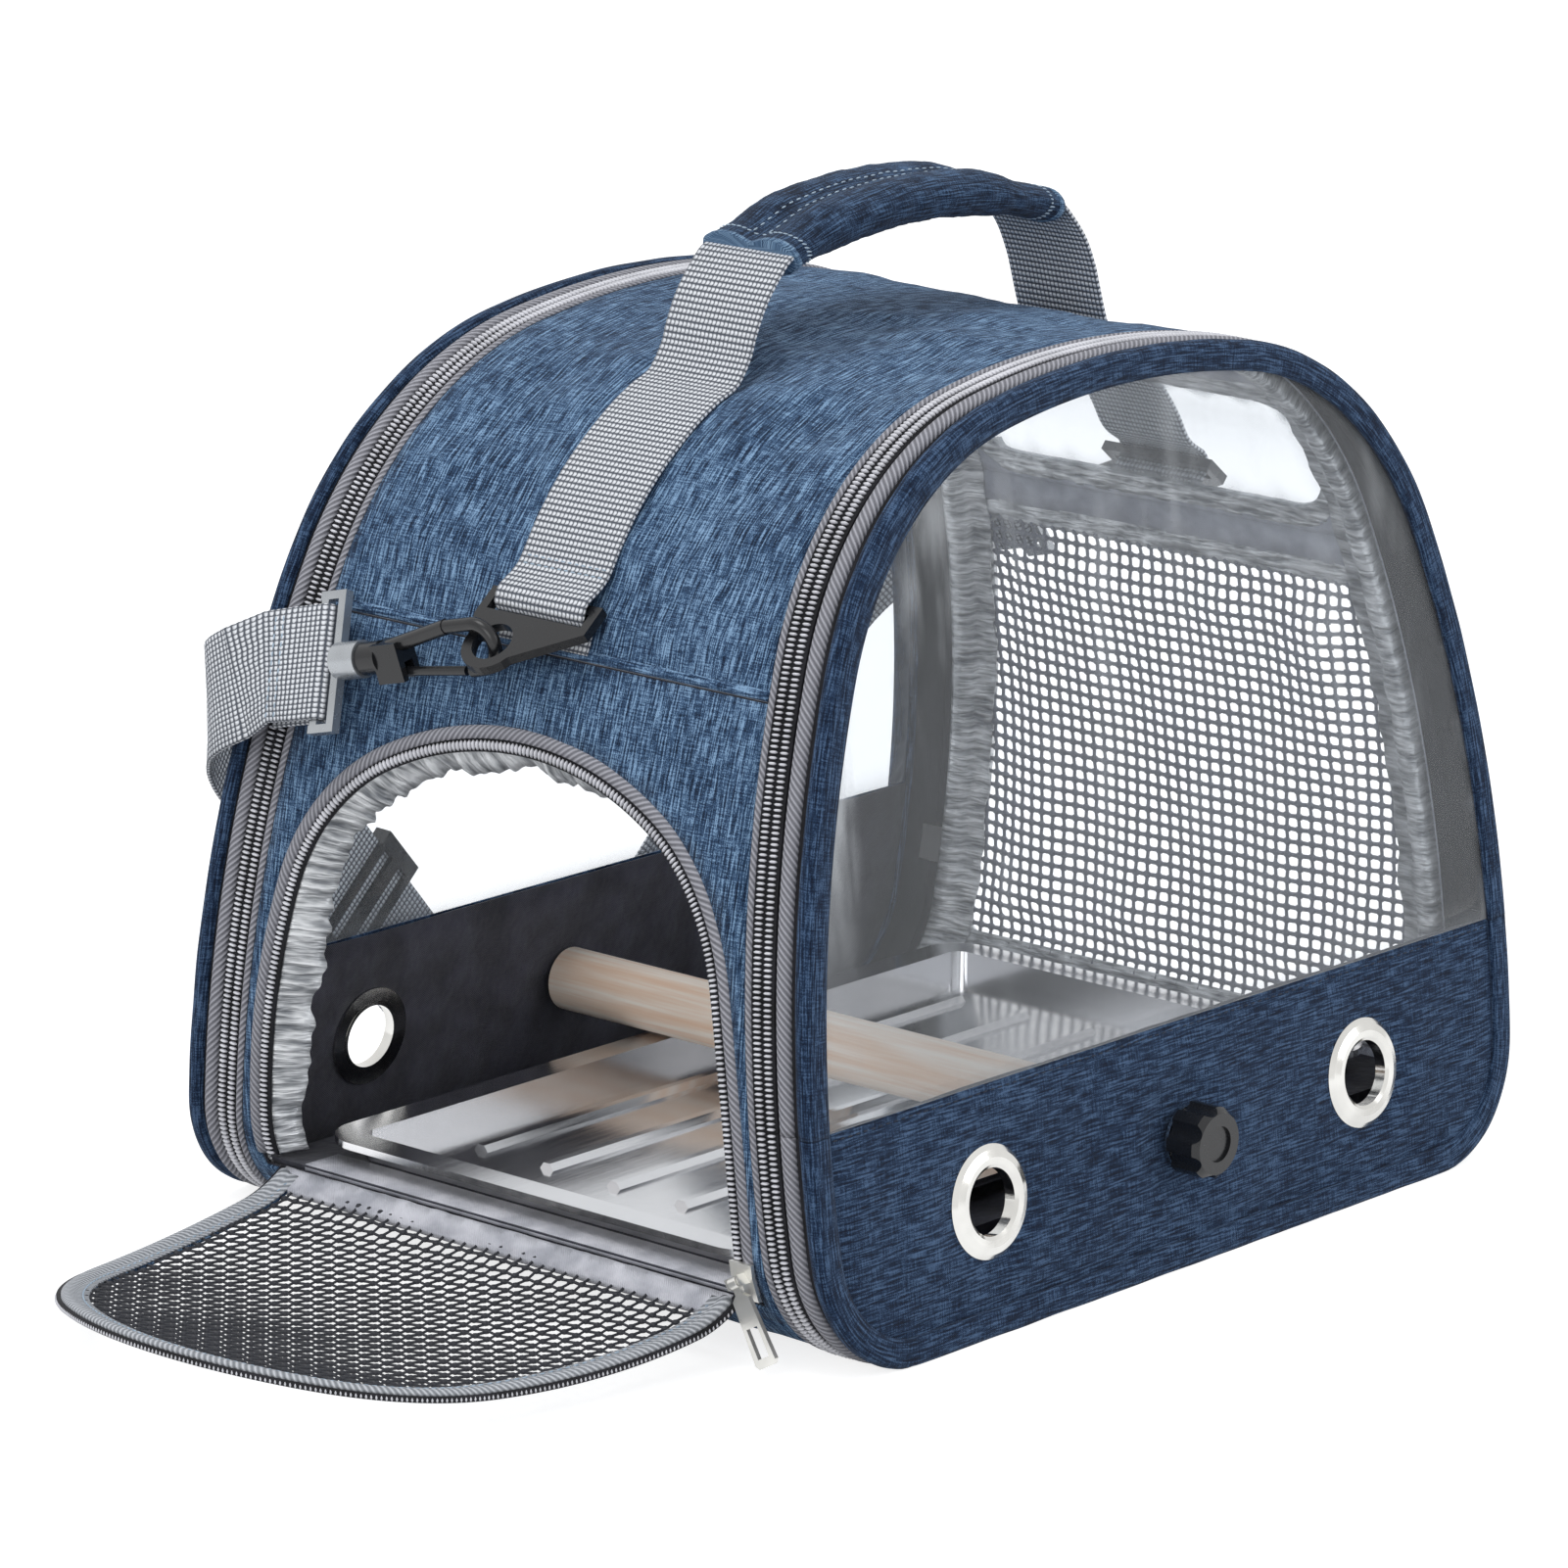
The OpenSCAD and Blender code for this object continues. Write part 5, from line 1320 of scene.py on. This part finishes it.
def ways_along(points):
    """The direction of a line of points at each of them."""
    return [(b - a).normalized() for a, b in zip(points[:1] + points[:-1], points[1:] + points[-1:])]


def strap_route():
    """The strap's middle line and the way across it, from the right bracket to the left one."""
    loop = [strap_frame(BAR_X + 22, LOOP_R), strap_frame(BAR_X + 10, LOOP_R)]
    loop += [strap_frame(BAR_X - 0.6 - LOOP_R*math.sin(math.radians(i*30)), LOOP_R*math.cos(math.radians(i*30)))
             for i in range(7)]
    loop += [strap_frame(BAR_X + 10, -LOOP_R), strap_frame(BAR_X + 22, -LOOP_R)]
    ends = [(178, 115, 183), (176, 128, 176), (168, 137.5, 168), (154, 142, 155), (136, 143.5, 137),
            (118, 144, 117), (98, 146, 95.7), (78, 148, 74.3), (58, 150, 53), (38, 153, 36), (18, 156.5, 26),
            (0, 158, 23), (-18, 156.5, 26)]
    faces = [(1, 0.1, 0.2), (1, 0.35, 0.15), (0.75, 0.65, 0.1), (0.35, 0.95, 0.05), (0.1, 1, 0)] + [(0, 1, 0)]*8
    run = [Vector(p) for p in smooth_through(ends, 4)[:-4]]
    face = [Vector(p) for p in smooth_through(faces, 4)[:-4]]
    points = loop + run
    across = []
    for i, d in enumerate(ways_along(points)):
        v = STRAP_TURN @ Vector((0, 0, 1)) if i < len(loop) else face[i - len(loop)].cross(d)
        across.append((v - d*v.dot(d)).normalized())
    mirror = Vector((-1, 1, 1))
    points += [p*mirror for p in points[-2::-1]]
    across += [v*mirror for v in across[-2::-1]]
    return points, across


def strap_piece():
    """The strap as one ribbon, and its cut length in metres."""
    points, across = strap_route()
    rings, along, length = [], [0.0], 0.0
    for i, (p, v, d) in enumerate(zip(points, across, ways_along(points))):
        u = d.cross(v)
        rings.append([(p + v*y + u*o)*MM for y, o in RIBBON])
        if i:
            length += (p - points[i - 1]).length*MM
            along.append(length)
    build = Build().loft(rings, along, perimeter(RIBBON))
    return build.piece("shoulder_webbing", WEBBING, "bag", "webbing_grey"), length


shoulder, strap_length = strap_piece()
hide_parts("shoulder_strap")
end_rows = []
for mirror in (1, -1):
    flip = Vector((mirror, 1, 1))
    for up in (-1, 1):
        for x in (BAR_X + 16, BAR_X + 19.5):
            for w in np.arange(-ROW_HALF, ROW_HALF + 0.1, ROW_PITCH):
                face = Vector((x, up*(LOOP_R + STRAP_T/2 + 0.05), w))
                base = RING_ROOT + LEAN_OUT @ HOOK_ROOT + STRAP_TURN @ face
                way, out = STRAP_TURN @ Vector((0, 0, 1)), STRAP_TURN @ Vector((0, up, 0))
                end_rows.append((base*flip*MM, way*flip, out*flip))
repeated("shoulder_stitches", end_rows, ROW_STITCH, THREAD, "bag", "webbing_grey")

# -------- finishes of the hard parts
HARD_PARTS = (
    (STEEL, ("tray", "front_hoop", "back_hoop")),
    (CHROME, ("front_eyelets", "back_eyelets", "perch_washers", "front_perch_screw", "back_perch_screw")),
    (NICKEL, ("door_slider", "door_pull", "front_slider", "front_pull", "back_slider", "back_pull")),
    (WOOD, ("perch",)),
    (BLACK, ("front_knob", "back_knob", "left_ring", "right_ring", "left_hook", "right_hook", "left_gate",
             "right_gate", "strap_slide")),
    (SILVER_PLASTIC, ("left_swivel", "right_swivel")),
    (BOARD_CLOTH, ("base_board",)),
)
for look, names in HARD_PARTS:
    for name in names:
        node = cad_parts[name]
        node.data.materials.clear()
        node.data.materials.append(look)


# -------- floor, world and lamps
FLOOR_REACH, WORLD_LEVEL = 9.0, 0.74


def make_floor():
    """A pale floor that takes the shadow and is seen as white."""
    mesh = bpy.data.meshes.new("floor")
    corners = ((-1, -1), (1, -1), (1, 1), (-1, 1))
    mesh.from_pydata([(x*FLOOR_REACH, y*FLOOR_REACH, 0) for x, y in corners], [], [(0, 1, 2, 3)])
    look = Look("floor_white")
    at = look.place()
    mottle = look.noise(at, 3.0, 2.0)
    camera, glass, metal = look.rays()
    seen = camera + metal + glass
    shade = look.add("BsdfDiffuse", values={"Color": look.blend(mottle, (0.5, 0.5, 0.5), (0.52, 0.52, 0.52))})
    glow = look.add("Emission", values={"Color": (1, 1, 1, 1), "Strength": seen*0.8})
    look.add("OutputMaterial", values={"Surface": look.add("AddShader", values={0: shade, 1: glow})})
    mesh.materials.append(look.made)
    new_object("floor", mesh)


def make_world(level):
    """Plain light of one level all round; the camera, glass and metal see white."""
    look = Look("studio", "worlds")
    camera, glass, metal = look.rays()
    seen = camera.math("MAXIMUM", camera, glass)
    seen = seen.math("MAXIMUM", seen, metal)
    plain = look.add("Background", values={"Color": (0.95, 0.97, 1.0, 1), "Strength": level})
    white = look.add("Background", values={"Color": (1, 1, 1, 1), "Strength": 1.0})
    look.add("OutputWorld", values={"Surface": look.add("MixShader", values={0: seen, 1: plain, 2: white})})
    bpy.context.scene.world = look.made


def soft_lamp(name, spot, target, size, power):
    data = bpy.data.lights.new(name, "AREA")
    data.shape, data.size, data.energy = "DISK", size, power
    lamp = new_object(name, data)
    lamp.location = spot
    lamp.rotation_euler = (Vector(target) - Vector(spot)).to_track_quat("-Z", "Y").to_euler()


make_floor()
make_world(WORLD_LEVEL)
for name, spot, target_z, size, watts in (
        ("lamp_above", (-0.9, 0.3, 2.3), 0.15, 1.1, 12),
        ("lamp_left", (-2.3, -0.7, 1.0), 0.12, 1.3, 10),
        ("lamp_front", (1.2, -2.4, 1.2), 0.12, 1.6, 15)):
    soft_lamp(name, spot, (0, 0, target_z), size, watts)
bpy.context.scene.view_settings.view_transform = "Standard"
